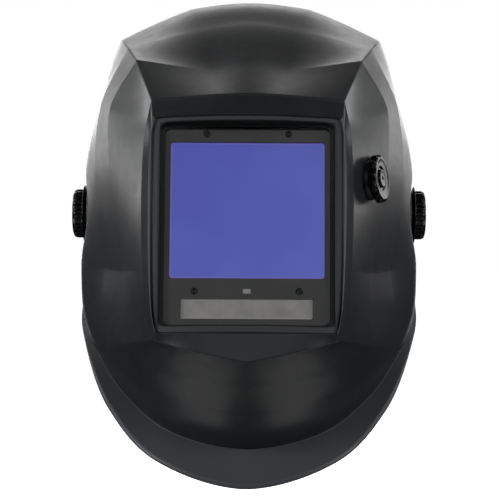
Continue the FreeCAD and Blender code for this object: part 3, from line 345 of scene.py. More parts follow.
def piece(name, node, shape, material, subdivide=1, stands_in=True):
    """A mesh, in millimetres, that rides with a CAD node and, as a rule, stands for it."""
    points, faces = shape
    mesh = bpy.data.meshes.new(name)
    mesh.from_pydata([tuple(p * MM) for p in np.asarray(points, float)], [], faces)
    mesh.validate()
    outward(mesh)
    mesh.materials.append(material)
    for polygon in mesh.polygons:
        polygon.use_smooth = True
    made = bpy.data.objects.new(name, mesh)
    bpy.context.scene.collection.objects.link(made)
    if subdivide:
        modifier = made.modifiers.new("subdivision", "SUBSURF")
        modifier.levels = modifier.render_levels = subdivide
    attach(made, body_of[node])
    if stands_in:
        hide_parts(node)
    return made


def outward(mesh, weld=0.0):
    """Turn the faces outward, with points closer than weld millimetres made one first."""
    shape = bmesh.new()
    shape.from_mesh(mesh)
    if weld:
        bmesh.ops.remove_doubles(shape, verts=shape.verts, dist=weld * MM)
    bmesh.ops.recalc_face_normals(shape, faces=shape.faces)
    shape.to_mesh(mesh)
    shape.free()


def round_edges(made, width, angle):
    """Round the edges sharper than angle degrees by width millimetres."""
    rounding = made.modifiers.new("rounding", "BEVEL")
    rounding.width, rounding.segments = width * MM, 2
    rounding.limit_method, rounding.angle_limit = "ANGLE", math.radians(angle)


def frame_of(origin, axis):
    """A matrix that carries local +Z to axis at origin, in millimetres."""
    turn = Vector((0, 0, 1)).rotation_difference(Vector(axis).normalized())
    return Matrix.Translation(Vector(origin)) @ turn.to_matrix().to_4x4()


def turned(place, profile, count, flutes=0, flute_depth=0.0, sharpness=1.0):
    """A closed profile turned about a place's +Z, with optional flutes.

    The profile is of (radius, height) or (radius, height, share of the flutes' depth), in millimetres.
    """
    angles = np.arange(count) * 2 * math.pi / count
    groove = (0.5 - 0.5 * np.cos(flutes * angles)) ** sharpness if flutes else np.zeros(count)
    points = []
    for radius, height, *share in profile:
        reach = radius - flute_depth * sum(share) * groove
        points.append(np.stack([reach * np.cos(angles), reach * np.sin(angles),
                                np.full(count, height)], axis=1))
    grid = np.array(place)
    return np.concatenate(points) @ grid[:3, :3].T + grid[:3, 3], quads(len(profile), count)


def joined(parts):
    """Several (points, faces) as one."""
    points, faces, start = [], [], 0
    for some_points, some_faces in parts:
        points.append(np.asarray(some_points, float))
        faces += [tuple(i + start for i in face) for face in some_faces]
        start += len(some_points)
    return np.concatenate(points), faces


# ---------------- shell

# Half rings of the shell, from the window out to the rim. The twelve points of each go from the top
# centre, past the centre panel, shoulder, bend, pivot level, kink and lower corner, to the chin centre.
# They lie on the wall's hidden face, and the face that shows is one wall outside them, apart from the
# window frame's own face, which is level with them.
FRAME_FACE = [
    (0, 68.7), (19, 68.7), (59.5, 68.7), (60.5, 59), (61, 42), (61, 10), (60, -32), (58.5, -56), (56.5, -70),
    (38, -70), (19, -70), (0, -70),
]
BROW = [
    (0, -134, 71.5), (19.5, -133, 71), (60.2, -125, 68), (63.2, -118.5, 52), (64.6, -121.5, 35),
    (65.1, -127, 3), (63.6, -134, -38), (61, -138.5, -62), (56.2, -146, -80.5), (38, -152.5, -85),
    (19, -156.5, -89.5), (0, -158, -93.5),
]
FRONT = [
    (0, -88, 93), (24, -84, 90.5), (74, -63, 99.5), (90, -72, 67.5), (90.5, -75, 41), (86.5, -80, 4),
    (78.5, -93, -39.5), (80, -94, -64), (80.5, -95, -86), (52, -124, -101), (26, -138, -106), (0, -145, -108),
]
MIDDLE = [
    (0, -15, 130), (32.5, -15, 125.5), (83, -17, 112.5), (98, -45, 72), (101.5, -48, 42.5), (100, -50, 5.5),
    (93.5, -58, -38), (94.5, -61, -64), (93.5, -62, -87.5), (63.5, -100, -113), (34, -120, -122.5),
    (0, -129, -126.5),
]
SIDE = [
    (0, 35, 150), (41.5, 38, 146), (91.5, 38, 124), (101, -8, 76), (108.5, -16, 44), (111.5, -22, 5.5),
    (112, -22, -39), (110.5, -20, -66.5), (104, -28, -87.5), (73, -74, -119.5), (42, -101, -135.5),
    (0, -113, -142.5),
]
THROAT = [
    (0, 78, 149), (44.5, 76, 145), (92, 71, 122.5), (102, 62, 75), (109.5, 62, 43), (113, 62, 4.5),
    (115, 56, -40), (115.5, 36, -69.5), (108, 4, -86.5), (81, -50, -124), (49, -82, -145.5), (0, -97, -154.5),
]
RIM = [
    (0, 82, 148.5), (44.5, 80, 144.5), (92.5, 75, 122.5), (102.5, 66, 75), (110, 66, 43), (113.5, 66, 4.5),
    (116, 60, -42), (119, 34, -74.5), (113.5, -2, -93), (92.5, -64, -132), (62.5, -100, -160),
    (0, -115, -178.5),
]

# How sharply each ring, and each spoke across the rings, is creased: 0 is smooth and 1 is a fold.
RING_CREASE = [
    [1, 1, 1, 0.3, 0.3, 0.3, 0.3, 0.3, 1, 1, 1, 1],
    [1, 1, 1, 1, 1, 1, 1, 1, 1, 1, 1, 1],
    [0, 0, 1, 1, 1, 1, 1, 0.6, 0.3, 0.1, 0, 0],
    [0, 0, 0.5, 1, 1, 1, 1, 0.6, 0.3, 0, 0, 0],
    [0, 0, 0, 0.2, 0, 0, 0, 0, 0, 0, 0, 0],
    [0, 0, 0, 0, 0, 0, 0, 0.6, 1, 1, 1, 1],
    [0] * 12,
]
SPOKE_CREASE = [
    {2: 1, 8: 1},
    {1: 0.4, 2: 1, 8: 1, 11: 0.6},
    {1: 0.6, 2: 1, 6: 0.7, 8: 0.2, 11: 0.3},
    {1: 0.6, 2: 1, 6: 0.5},
    {1: 0.5, 2: 0.8},
    {1: 0.3, 2: 0.6},
    {1: 0.3, 2: 0.6},
]
TANGENT_REACH = 1.25  # a long span beside a short one bulges no more than this times the short one
ALONG = np.array([0, 0.035, 0.1, 0.2, 0.32, 0.44, 0.56, 0.68, 0.8, 0.9, 0.965])  # places in each span
ACROSS = [
    [0, 0.06, 0.2, 0.5, 0.8, 0.94],
    [0, 0.02, 0.06, 0.13, 0.22, 0.34, 0.46, 0.58, 0.7, 0.8, 0.89, 0.95, 0.98],
    [0, 0.02, 0.06, 0.14, 0.25, 0.37, 0.5, 0.63, 0.75, 0.86, 0.94, 0.98],
    [0, 0.02, 0.06, 0.15, 0.27, 0.4, 0.53, 0.66, 0.78, 0.9],
    [0, 0.08, 0.17, 0.26, 0.35, 0.44, 0.53, 0.62, 0.71, 0.79, 0.86, 0.92, 0.96, 0.985],
    [0, 0.04, 0.12, 0.28, 0.46, 0.64],
]


def full_ring(half):
    """The closed ring of a half ring: the half itself, then its mirror image going back up."""
    return np.array(list(half) + [(-x, y, z) for x, y, z in reversed(half[1:-1])], float)


def full_values(half):
    """A whole ring's values from half a ring's, in full_ring's order."""
    return np.array(list(half) + list(half[-2:0:-1]), float)


def frame_point(x, v):
    """A point of the bowed frame face."""
    return tuple(in_window(x, bow_depth(x), v))


def tangents(points, creases, closed):
    """Arriving and leaving tangents at each point of a line, one-sided where it is creased."""
    before = points - np.roll(points, 1, axis=0)
    after = np.roll(before, -1, axis=0)
    if not closed:
        before[0], after[-1] = after[0], before[-1]
    reach_before = np.linalg.norm(before, axis=1)[:, None]
    reach_after = np.linalg.norm(after, axis=1)[:, None]
    smooth = before / reach_before * reach_after + after / reach_after * reach_before
    smooth = smooth / (reach_before + reach_after)
    fold = np.asarray(creases, float)[:, None]
    pull_before = np.minimum(reach_before, TANGENT_REACH * reach_after)
    pull_after = np.minimum(reach_after, TANGENT_REACH * reach_before)
    arriving = before * fold + smooth * pull_before * (1 - fold)
    leaving = after * fold + smooth * pull_after * (1 - fold)
    return arriving, leaving


def bernstein(t):
    """Cubic Bernstein weights, one row for each value of t."""
    t = np.asarray(t, float)
    return np.stack([(1 - t) ** 3, 3 * t * (1 - t) ** 2, 3 * t * t * (1 - t), t ** 3], axis=-1)


class Skin:
    """Bicubic patches over a net of closed rings, read off row by row."""

    def __init__(self, net, ring_creases, spoke_creases):
        rings, spokes = len(net), len(net[0])
        along = [tangents(net[r], spoke_creases[r], True) for r in range(rings)]
        across = [tangents(net[:, s], ring_creases[:, s], False) for s in range(spokes)]
        weights = bernstein(ALONG)
        self.columns = spokes * len(ALONG)
        self.lines = []
        for r in range(rings - 1):
            line = []
            for s in range(spokes):
                e = (s + 1) % spokes
                poles = np.zeros((4, 4, 3))
                ends = {
                    (0, 0): (net[r, s], along[r][1][s], across[s][1][r]),
                    (3, 0): (net[r, e], -along[r][0][e], across[e][1][r]),
                    (0, 3): (net[r + 1, s], along[r + 1][1][s], -across[s][0][r + 1]),
                    (3, 3): (net[r + 1, e], -along[r + 1][0][e], -across[e][0][r + 1]),
                }
                for (i, j), (corner, side_u, side_v) in ends.items():
                    near_i, near_j = (1 if i == 0 else 2), (1 if j == 0 else 2)
                    poles[i, j] = corner
                    poles[near_i, j] = corner + side_u / 3
                    poles[i, near_j] = corner + side_v / 3
                    poles[near_i, near_j] = corner + side_u / 3 + side_v / 3
                line.append(np.einsum("ai,ijk->ajk", weights, poles))
            self.lines.append(np.concatenate(line))

    def row(self, gap, share):
        """The points at a share of the way across one gap between rings; it may differ by column."""
        weights = np.broadcast_to(bernstein(share), (self.columns, 4))
        return np.einsum("cj,cjk->ck", weights, self.lines[gap])


def inward_normals(net):
    """Inward normals of a net of rings, from the chords round each vertex."""
    around = np.roll(net, -1, axis=1) - np.roll(net, 1, axis=1)
    across = np.concatenate([net[1:2] - net[0:1], net[2:] - net[:-2], net[-1:] - net[-2:-1]])
    normals = np.cross(across, around)
    return normals / np.linalg.norm(normals, axis=2)[:, :, None]


def on_aperture(x, v, grow=0.0):
    """The nearest point to (x, v) on the aperture's rounded outline, grown outwards."""
    straight_x = APERTURE_WIDTH / 2 - APERTURE_RADIUS
    straight_v = APERTURE_HEIGHT / 2 - APERTURE_RADIUS
    centre_x, centre_v = np.clip(x, -straight_x, straight_x), np.clip(v, -straight_v, straight_v)
    out_x, out_v = x - centre_x, v - centre_v
    reach = np.hypot(out_x, out_v)
    radius = APERTURE_RADIUS + grow
    return centre_x + out_x / reach * radius, centre_v + out_v / reach * radius


def shell_nets():
    """The nets of the wall's hidden face and of the face that shows, with their creases."""
    frame_ring = [frame_point(x, v) for x, v in FRAME_FACE]
    opening = [frame_point(x * 0.7, v * 0.7) for x, v in FRAME_FACE]
    halves = (opening, frame_ring, BROW, FRONT, MIDDLE, SIDE, THROAT, RIM)
    net = np.array([full_ring(half) for half in halves])
    shown = net - inward_normals(net) * SHELL_WALL
    ring_creases = np.array([full_values(row) for row in [[0] * 12] + RING_CREASE])
    spoke_creases = np.array([full_values([row.get(s, 0) for s in range(12)])
                              for row in [SPOKE_CREASE[0]] + SPOKE_CREASE])
    return net, shown, ring_creases, spoke_creases


# Rows close to the rim: distance from it, and share of the rolled lip's height.
RIM_LIP = [(5.0, 0.0), (3.6, 0.05), (3.0, 0.85), (1.9, 1.0), (0.6, 0.9), (0.1, 0.45)]
LIP_HEIGHT = 0.55


def rim_rows(skin, lift):
    """Rows close to the rim, with the wall lifted by up to lift into a rolled lip."""
    last = len(skin.lines) - 1
    start, end = skin.row(last, 0.0), skin.row(last, 1.0)
    reach = np.linalg.norm(end - start, axis=1)
    rows = []
    for distance, share in RIM_LIP:
        place = 1 - np.minimum(distance / reach, 0.3 * distance / RIM_LIP[0][0])
        row = skin.row(last, place)
        ahead = skin.row(last, np.minimum(place + 0.01, 1.0)) - skin.row(last, place - 0.01)
        around = np.roll(row, -1, axis=0) - np.roll(row, 1, axis=0)
        normal = np.cross(ahead, around)
        normal /= np.linalg.norm(normal, axis=1)[:, None]
        rows.append(row + normal * lift * share)
    return rows


def flatten_pads(points, level, cap):
    """Press the wall flat at level round each pivot, with an eased edge; a cap only presses inwards.

    The hidden face gives the pads' outer sides and the face that shows their inner sides, so the two
    cross in the eased edge, close to the pad's own disc.
    """
    from_axis = np.hypot(points[:, 1], points[:, 2])
    radius = PAD_RADIUS + PAD_MARGIN
    ease = np.clip((from_axis - radius) / PAD_EASE, 0, 1)
    ease = ease * ease * (3 - 2 * ease)
    side = np.sign(points[:, 0])
    near = (np.abs(points[:, 0]) > PAD_ZONE) & (from_axis < radius + PAD_EASE)
    reach = np.abs(points[:, 0])
    pressed = np.minimum(reach, level) if cap else np.full_like(reach, level)
    points = points.copy()
    points[:, 0] = np.where(near, pressed * (1 - ease) + reach * ease, reach) * side
    return points


# The tunnel's section, from the frame face in: growth of the outline, share of the face's bow, depth.
TUNNEL = [
    (1.5, 1, 0.0), (0.7, 1, 0.03), (0.2, 1, 0.25), (0.0, 1, 0.75), (0.0, 1, 1.6), (0.0, 0.6, 5.0),
    (0.0, 0.1, 9.6), (0.05, 0, SEAT_DEPTH - 0.2), (0.35, 0, SEAT_DEPTH), (TUNNEL_WALL - 0.35, 0, SEAT_DEPTH),
    (TUNNEL_WALL - 0.05, 0, SEAT_DEPTH - 0.2), (TUNNEL_WALL, 0, 9.6), (TUNNEL_WALL, 0.6, 6.5),
]


def window_rows(ring):
    """Rows in line with a ring's points, over the frame face and down the tunnel."""
    x, v = ring[:, 0], (ring - WINDOW_BASE) @ WINDOW_UP
    near_x, near_v = on_aperture(x, v)
    step = np.hypot(x - near_x, v - near_v)
    rows = []
    for share in (0.85, 0.55):
        inset = 1 - (1 - share) * np.minimum(1, 6 / step)
        side, level = near_x + (x - near_x) * inset, near_v + (v - near_v) * inset
        rows.append(in_window(side, bow_depth(side), level))
    for grow, bow, depth in TUNNEL:
        side, level = on_aperture(x, v, grow)
        rows.append(in_window(side, bow_depth(side) * bow + depth, level))
    return rows


# Turned details of the shell: a pivot's pad and stop pin, a screw boss, and the shade knob's seat.
PAD_PROFILE = [
    (6.0, 0.0), (PAD_RADIUS - 0.8, 0.0), (PAD_RADIUS - 0.2, -0.15), (PAD_RADIUS, -0.6), (PAD_RADIUS, -2.0),
    (PAD_RADIUS, -3.2), (PAD_RADIUS - 0.2, -3.5), (PAD_RADIUS - 0.8, -3.6), (6.0, -3.6), (5.6, -3.4),
    (5.5, -3.0), (5.5, -0.6), (5.6, -0.15),
]
PIN_PROFILE = [(0.05, 0), (1.5, 0), (1.8, 0.3), (1.8, 4.2), (0.05, 4.2)]
BOSS_PROFILE = [
    (0.05, 4.2), (6.4, 4.2), (5.4, 5.2), (5.0, 6.4), (5.0, 10.1), (4.6, 10.5), (1.7, 10.5), (1.5, 10.2),
    (1.5, 5.6), (0.05, 5.5),
]
SHADE_SEAT = 2.0  # height of the raised round seat on the facet
SHADE_GAP = 0.4  # the knob turns this far clear of it
SEAT_PROFILE = [
    (3.8, -2.2), (13.3, -2.2), (13.3, -1.4), (13.05, 1.2), (12.9, 1.75), (12.5, SHADE_SEAT),
    (4.2, SHADE_SEAT), (3.8, 1.6),
]
PIN_PLACE, BOSS_PLACE = (104.0, 15), (38.0, 72.5)


def facet_frame():
    """Where the shade control turns, from its joint in the record."""
    joint = next(j for j in frame["joints"] if j["name"] == "shade_turn")
    return [c / MM for c in joint["pos_m"]], joint["axis"]


def shell_details():
    """The shell's turned details, each closed in itself."""
    parts = []
    for side in (1, -1):
        parts.append(turned(frame_of((side * PAD_OUTER, 0, 0), (side, 0, 0)), PAD_PROFILE, 72))
        reach, height = PIN_PLACE
        parts.append(turned(frame_of((side * reach, 0, height), (side, 0, 0)), PIN_PROFILE, 20))
        for end in (1, -1):
            x, v = BOSS_PLACE
            parts.append(turned(frame_of(in_window(side * x, 0, end * v), WINDOW_IN), BOSS_PROFILE, 32))
    parts.append(turned(frame_of(*facet_frame()), SEAT_PROFILE, 72))
    return parts


def shell_piece(material):
    """The moulding as one closed wall: hidden face, window frame and tunnel, face that shows, and rim."""
    net, shown_net, ring_creases, spoke_creases = shell_nets()
    hidden = Skin(net, ring_creases, spoke_creases)
    shown = Skin(shown_net, ring_creases, spoke_creases)
    places = [(gap, share) for gap, shares in enumerate(ACROSS, 1) for share in shares]
    hidden_rows = [hidden.row(*place) for place in places] + rim_rows(hidden, LIP_HEIGHT)
    shown_rows = [shown.row(*place) for place in places] + rim_rows(shown, 0.0)[:4]
    last = len(hidden.lines) - 1
    back = hidden.row(last, 0.7) - hidden.row(last, 1.0)
    back /= np.linalg.norm(back, axis=1)[:, None]
    lip = (hidden_rows[-1] + shown_rows[-1]) / 2 - back * 0.5

    rows = [flatten_pads(row, PAD_OUTER - PAD_SINK_OUTER, True) for row in reversed(hidden_rows)]
    rows += window_rows(hidden_rows[0])
    rows += [flatten_pads(row, PAD_INNER + PAD_SINK_INNER, False) for row in shown_rows]
    rows.append(lip)
    wall = (np.concatenate(rows), quads(len(rows), hidden.columns))
    made = piece("shell_moulding", "shell", joined([wall] + shell_details()), material)

    lip_rows = len(hidden_rows) - sum(len(shares) for shares in ACROSS[:-1])
    shares = np.zeros(len(rows))
    shares[:lip_rows] = shares[-lip_rows:] = LIP_TEXTURE
    shares[len(hidden_rows):len(hidden_rows) + 3] = FRAME_TEXTURE
    textured = made.data.attributes.new(TEXTURE, "FLOAT", "POINT")
    for i, share in enumerate(np.repeat(shares, hidden.columns)):
        textured.data[i].value = share


# ---------------- knobs, washers and sensors

TENSION_PROFILE = [
    (8.05, 0.1), (14.0, 0.1), (17.6, 0.5), (19.4, 1.15), (19.95, 1.5), (19.9, 1.9), (19.4, 2.05), (18.2, 1.9),
    (17.2, 2.0, 0.1), (16.85, 2.3, 0.7), (16.9, 2.8, 1), (17.0, 4.0, 1), (17.0, 6.2, 1), (16.8, 7.4, 1),
    (16.2, 8.5, 0.9), (15.3, 9.2, 0.6), (14.2, 9.48, 0.15), (13.2, 9.45), (12.4, 9.2), (11.4, 8.95),
    (7.0, 8.8), (5.0, 8.85), (4.5, 8.7), (4.3, 8.3), (4.3, 7.4), (4.6, 7.22), (7.6, 7.22), (8.0, 7.0),
    (8.05, 6.6),
]
WASHER_PROFILE = [
    (4.4, 0.0), (17.5, 0.0), (19.4, -0.05), (19.9, 0.1), (19.85, 0.45), (19.3, 0.55), (17.2, 0.85),
    (14.5, 1.15), (4.6, 1.15), (4.4, 0.95),
]
SPACER_PROFILE = [
    (4.4, 0.2), (4.6, 0), (11.6, 0), (12, 0.4), (12, 2.2), (11.6, 2.6), (4.6, 2.6), (4.4, 2.4),
]
SHADE_PROFILE = [
    (7.0, 0.0), (13.0, 0.0), (14.7, 0.15, 0.3), (15.5, 0.5, 0.8), (15.95, 1.0, 1), (16.0, 1.6, 1),
    (16.0, 3.1, 1), (15.8, 3.9, 1), (15.3, 4.6, 0.85), (14.5, 5.1, 0.5), (13.6, 5.4, 0.15), (12.8, 5.35),
    (11.6, 5.0), (9.8, 4.72), (8.4, 4.66), (7.8, 4.5), (7.5, 4.0), (7.3, 3.7), (6.6, 3.62), (3.4, 3.62),
    (3.2, 3.4), (3.2, 2.8), (3.5, 2.6), (6.8, 2.6), (7.0, 2.3),
]
SHADE_CAP_PROFILE = [
    (0.05, 3.8), (5.7, 3.8), (6.05, 4.0), (6.15, 4.7), (6.0, 5.25), (5.5, 5.6), (4.7, 5.6), (4.3, 5.4),
    (3.3, 5.3), (0.05, 5.25),
]
EYE_PROFILE = [
    (0.05, 0), (2.1, 0), (2.28, 0.2), (2.28, 1.9), (2.15, 2.2), (1.85, 2.3), (1.6, 2.15), (1.5, 1.7),
    (1.4, 1.65), (1.2, 1.95), (0.8, 2.2), (0.4, 2.3), (0.05, 2.32),
]
EYE_BASE = 15.4  # depth of the back of each arc sensor
EYES = [(26.0, 59.3), (33.0, -42.2)]  # x and v of the two on the left; two more mirror them

# Piece, node, profile, distance of its base from the middle, and how it is turned.
PIVOT_PARTS = [
    ("tension_knob_moulding", "tension_knob", TENSION_PROFILE, 113.3, (240, 12, 1.7, 1.3)),
    ("friction_disc", "friction_washer", WASHER_PROFILE, PAD_OUTER, (120,)),
    ("spacer_disc", "spacer_washer", SPACER_PROFILE, 105.7, (72,)),
]


def pivot_pieces(finish):
    """Both tension knobs with their washers."""
    for label, side in SIDES:
        for name, kind, profile, reach, turning in PIVOT_PARTS:
            node = f"{kind}_{label}"
            shape = turned(frame_of((side * reach, 0, 0), (side, 0, 0)), profile, *turning)
            piece(f"{name}_{label}", node, shape, finish[slot_of[node]])


def shade_pieces(gloss):
    """The scalloped shade knob with its dished face, and its centre cap."""
    point, axis = facet_frame()
    place = frame_of(np.array(point) + np.array(axis) * (SHADE_SEAT + SHADE_GAP), axis)
    piece("shade_knob_moulding", "shade_knob", turned(place, SHADE_PROFILE, 240, 12, 1.3, 1.0), gloss)
    piece("shade_cap_moulding", "shade_knob_cap", turned(place, SHADE_CAP_PROFILE, 64), gloss)


def sensor_pieces(material):
    """The four arc sensors: a small dome in a ring."""
    domes = [turned(frame_of(in_window(side * x, EYE_BASE, v), -WINDOW_IN), EYE_PROFILE, 40)
             for x, v in EYES for side in (1, -1)]
    piece("arc_sensor_domes", "arc_sensors", joined(domes), material)


# ---------------- headgear

BAND_TILT, BAND_LEVEL = math.radians(15), 14.0
BAND_TURN = np.array(Matrix.Rotation(-BAND_TILT, 3, "X"))
REAR_CENTRE = 52.0  # the nape strap's arc turns about this y
STRAP_LEVEL = 14.0  # the crown straps' arcs turn about this height in the band's own frame


def on_band(points):
    """Points of the headband's own tilted frame in the helmet's."""
    return np.asarray(points) @ BAND_TURN.T + (0, 0, BAND_LEVEL)


def round_head(centre):
    """Wraps (angle, radius, height) round an upright axis at y = centre, angle 0 to the left."""
    def wrap(angle, radius, height):
        return on_band(np.stack([radius * np.cos(angle), centre + radius * np.sin(angle),
                                 height + 0 * angle], axis=-1))
    return wrap


def over_head(centre):
    """Wraps (angle, radius, height) round the straps' axis, which runs back; angle 0 is the top."""
    def wrap(angle, radius, height):
        return on_band(np.stack([radius * np.sin(angle), centre + height + 0 * angle,
                                 STRAP_LEVEL + radius * np.cos(angle)], axis=-1))
    return wrap


HEM = 3.6  # a pad's hems lie this far inside its long edges
PAD_CORNER = 7.0
STITCH_PITCH, STITCH_REACH, THREAD_RADIUS = 3.4, 1.15, 0.30


def pad_thickness(level, along, half_height, length, seams, full):
    """Stuffing's thickness over the pad: crowned, pinched at stitched lines, thin at the edges."""
    crown = np.clip(1 - np.abs(level / half_height) ** 3.2, 0.0, 1) ** 0.45
    from_hem = np.abs(level) - (half_height - HEM)
    pinch = 0.42 * np.exp(-(from_hem / 0.9) ** 2)
    pull = 0.10 * np.exp(-(from_hem / 3.0) ** 2)
    for seam in seams:
        off = np.abs(along - seam)
        pinch = np.maximum(pinch, 0.5 * np.exp(-(off / 0.9) ** 2))
        pull = pull + 0.14 * np.exp(-(off / 5.0) ** 2)
        pull = pull + 0.035 * (np.sin(level * 1.25 + seam) * np.exp(-(off / 3.5) ** 2))
    near_end = np.clip(np.minimum(along, length - along) / 5.0, 0, 1) ** 0.5
    return full * np.clip(crown * near_end * (1 - pinch - pull), 0.05, 1)


def stuffed_pad(wrap, outer, inner, half_height, start, length, seams):
    """A stuffed pad bent round an axis, flat on its outer side, with hems and seams."""
    columns, rows = 150, 44
    middle = (outer + inner) / 2
    along = np.linspace(0, length, columns)
    depth = np.clip(np.minimum(along, length - along), 0, PAD_CORNER)
    tall = half_height - PAD_CORNER + np.sqrt(PAD_CORNER ** 2 - (PAD_CORNER - depth) ** 2 + 0.01)
    turn = np.linspace(0, 2 * math.pi, rows, endpoint=False)
    front = np.sin(turn) > 1e-6
    sections = []
    for place, top in zip(along, tall):
        level = -top * np.cos(turn)
        level = np.sign(level) * top * (np.abs(level) / top) ** 0.75
        thick = pad_thickness(level * half_height / top, place, half_height, length, seams, outer - inner)
        radius = np.where(front, outer - thick, outer - 0.02 * thick)
        sections.append(wrap(np.full(rows, start + place / middle), radius, level))
    faces = quads(columns, rows, close_rows=False)
    centres = [sections[0].mean(axis=0), sections[-1].mean(axis=0)]
    points = np.concatenate(sections + [centres])
    last = (columns - 1) * rows
    for c in range(rows):
        d = (c + 1) % rows
        faces.append((d, c, len(points) - 2))
        faces.append((last + c, last + d, len(points) - 1))
    return points, faces


def stitch_line(wrap, outer, inner, half_height, start, length, seams):
    """Threads lying along a pad's hems, each a short rounded stitch."""
    middle = (outer + inner) / 2
    parts = []
    for side in (1, -1):
        level = side * (half_height - HEM)
        for place in np.arange(6.0, length - 6.0, STITCH_PITCH):
            thick = pad_thickness(np.full(1, level), place, half_height, length, seams, outer - inner)[0]
            radius = outer - thick - 0.12
            angles = start + (place + np.array([-STITCH_REACH, 0, STITCH_REACH])) / middle
            line = wrap(angles, np.array([radius + 0.28, radius, radius + 0.28]), level + 0 * angles)
            parts.append(thread_tube(line, THREAD_RADIUS))
    return joined(parts)


def thread_tube(line, radius):
    """A short six-sided thread through three points, closed at both ends."""
    way = line[2] - line[0]
    way = way / np.linalg.norm(way)
    side = np.cross(way, (0.3, 0.5, 0.81))
    side = side / np.linalg.norm(side)
    other = np.cross(way, side)
    turn = np.arange(6) * math.pi / 3
    ring = np.outer(np.cos(turn), side) + np.outer(np.sin(turn), other)
    points = np.concatenate([place + ring * radius * share for place, share in zip(line, (0.6, 1, 0.6))])
    faces = quads(3, 6, close_rows=False) + [tuple(range(5, -1, -1)), tuple(range(12, 18))]
    return points, faces


PADS = [
    # name, node, wrap, outer and inner radius, half height, start and sweep in degrees, seam pitch, fill
    ("sweatband_padding", "sweatband", round_head(0), 77.6, 71.1, 16.8, 212.3, 115.4, 24.0, 0.6),
    ("nape_padding", "nape_pad", round_head(REAR_CENTRE), 72.6, 64.2, 21.7, 68.4, 43.2, 17.0, 0.7),
    ("crown_padding", "crown_pad", over_head(12.0), 72.2, 66.2, 29.7, -24.2, 48.4, 20.0, 0.7),
]


def pad_pieces(finish):
    """The sweatband, nape pad and crown pad, with their stitching."""
    for name, node, wrap, outer, inner, half_height, start, sweep, pitch, fill in PADS:
        length = math.radians(sweep) * (outer + inner) / 2
        seams = np.arange(pitch / 2, length - 4, pitch)
        seams += (length - seams[-1] - seams[0]) / 2
        layout = (wrap, outer, inner, half_height, math.radians(start), length, seams)
        pad = piece(name, node, stuffed_pad(*layout), finish[slot_of[node]])
        piece(f"{name}_stitches", node, stitch_line(*layout), finish["thread"], 0, False)


# ---------------- straps with holes

STRAP_WIDTH, STRAP_WALL, STRAP_FOOT, STRAP_OVERLAP = 16.0, 1.6, -8.0, 14.0
HOLE_RADIUS, HOLE_CELL, HOLE_PITCH = 2.6, 4.0, 8.0  # a cell reaches this far each way from its hole
STRAPS = [("front", -8.0, 76.0), ("rear", 30.0, 77.7)]


def strap_sheet(length, holes):
    """A flat strap with round ends as (s, t) points and faces, with round holes along its middle.

    The first hole sits in the round end at the start.
    """
    half = STRAP_WIDTH / 2
    across = np.linspace(-half, half, 5)
    points, faces = [], []

    def rows(stations, scales):
        base = len(points)
        for s, scale in zip(stations, scales):
            points.extend((s, t * scale) for t in across)
        faces.extend(tuple(base + i for i in face)
                     for face in quads(len(stations), 5, close_rows=False, close_columns=False))

    def ring(outline, centre):
        base, count = len(points), len(outline)
        way = np.array(outline) - (centre, 0)
        way = way / np.linalg.norm(way, axis=1)[:, None]
        points.extend(map(tuple, outline))
        for radius in (HOLE_RADIUS + (half - HOLE_RADIUS) * 0.3, HOLE_RADIUS):
            points.extend(map(tuple, way * radius + (centre, 0)))
        faces.extend(tuple(base + i for i in face) for face in quads(3, count, close_rows=False))

    def cell(start, left, right, count):
        outline = start + [(s, -half) for s in np.linspace(left, right, count)[1:]]
        outline += [(right, t) for t in across[1:]]
        return outline + [(s, half) for s in np.linspace(right, left, count)[1:-1]]

    right = holes[0] + HOLE_CELL
    turn = np.linspace(math.pi / 2, 3 * math.pi / 2, 17)
    end = [(half + half * math.cos(a), half * math.sin(a)) for a in turn]
    ring(cell(end, half, right, 3), holes[0])
    for place in holes[1:] + [None]:
        left = length - half if place is None else place - HOLE_CELL
        if left - right > 0.05:
            count = max(2, int(round((left - right) / 3.0)) + 1)
            rows(np.linspace(right, left, count), np.ones(count))
        if place is None:
            break
        right = place + HOLE_CELL
        ring(cell([(left, t) for t in across[::-1]], left, right, 9), place)
    quarter = np.linspace(math.radians(14), math.pi / 2, 6)[::-1]
    rows(length - half * (1 - np.cos(quarter)), np.sin(quarter))
    return np.array(points), faces


def crown_straps(material):
    """Both crown straps, each of two halves that cross at the top and are pinned through a hole."""
    leg = STRAP_LEVEL - STRAP_FOOT
    for name, centre, outer in STRAPS:
        for label, side in SIDES:
            radius = (outer if side > 0 else outer - 1.8) - STRAP_WALL / 2
            length = leg + radius * (math.pi / 2 + math.asin(STRAP_OVERLAP / radius))
            top = leg + radius * math.pi / 2
            holes = [STRAP_WIDTH / 2] + [top - HOLE_PITCH * step for step in (5, 4, 3, 2, 1, 0)]
            flat, faces = strap_sheet(length, holes)
            s, t = flat.T
            angle = np.maximum(s - leg, 0) / radius
            height = STRAP_LEVEL + radius * np.sin(angle) - np.maximum(leg - s, 0)
            points = on_band(np.stack([side * (radius * np.cos(angle)), centre + t, height], axis=-1))
            node = f"crown_strap_{name}_{label}"
            made = piece(f"{node}_web", node, (points, faces), material, 0)
            outward(made.data, weld=0.02)
            thicken = made.modifiers.new("thickness", "SOLIDIFY")
            thicken.thickness, thicken.offset = STRAP_WALL * MM, 0
            round_edges(made, 0.35, 50)


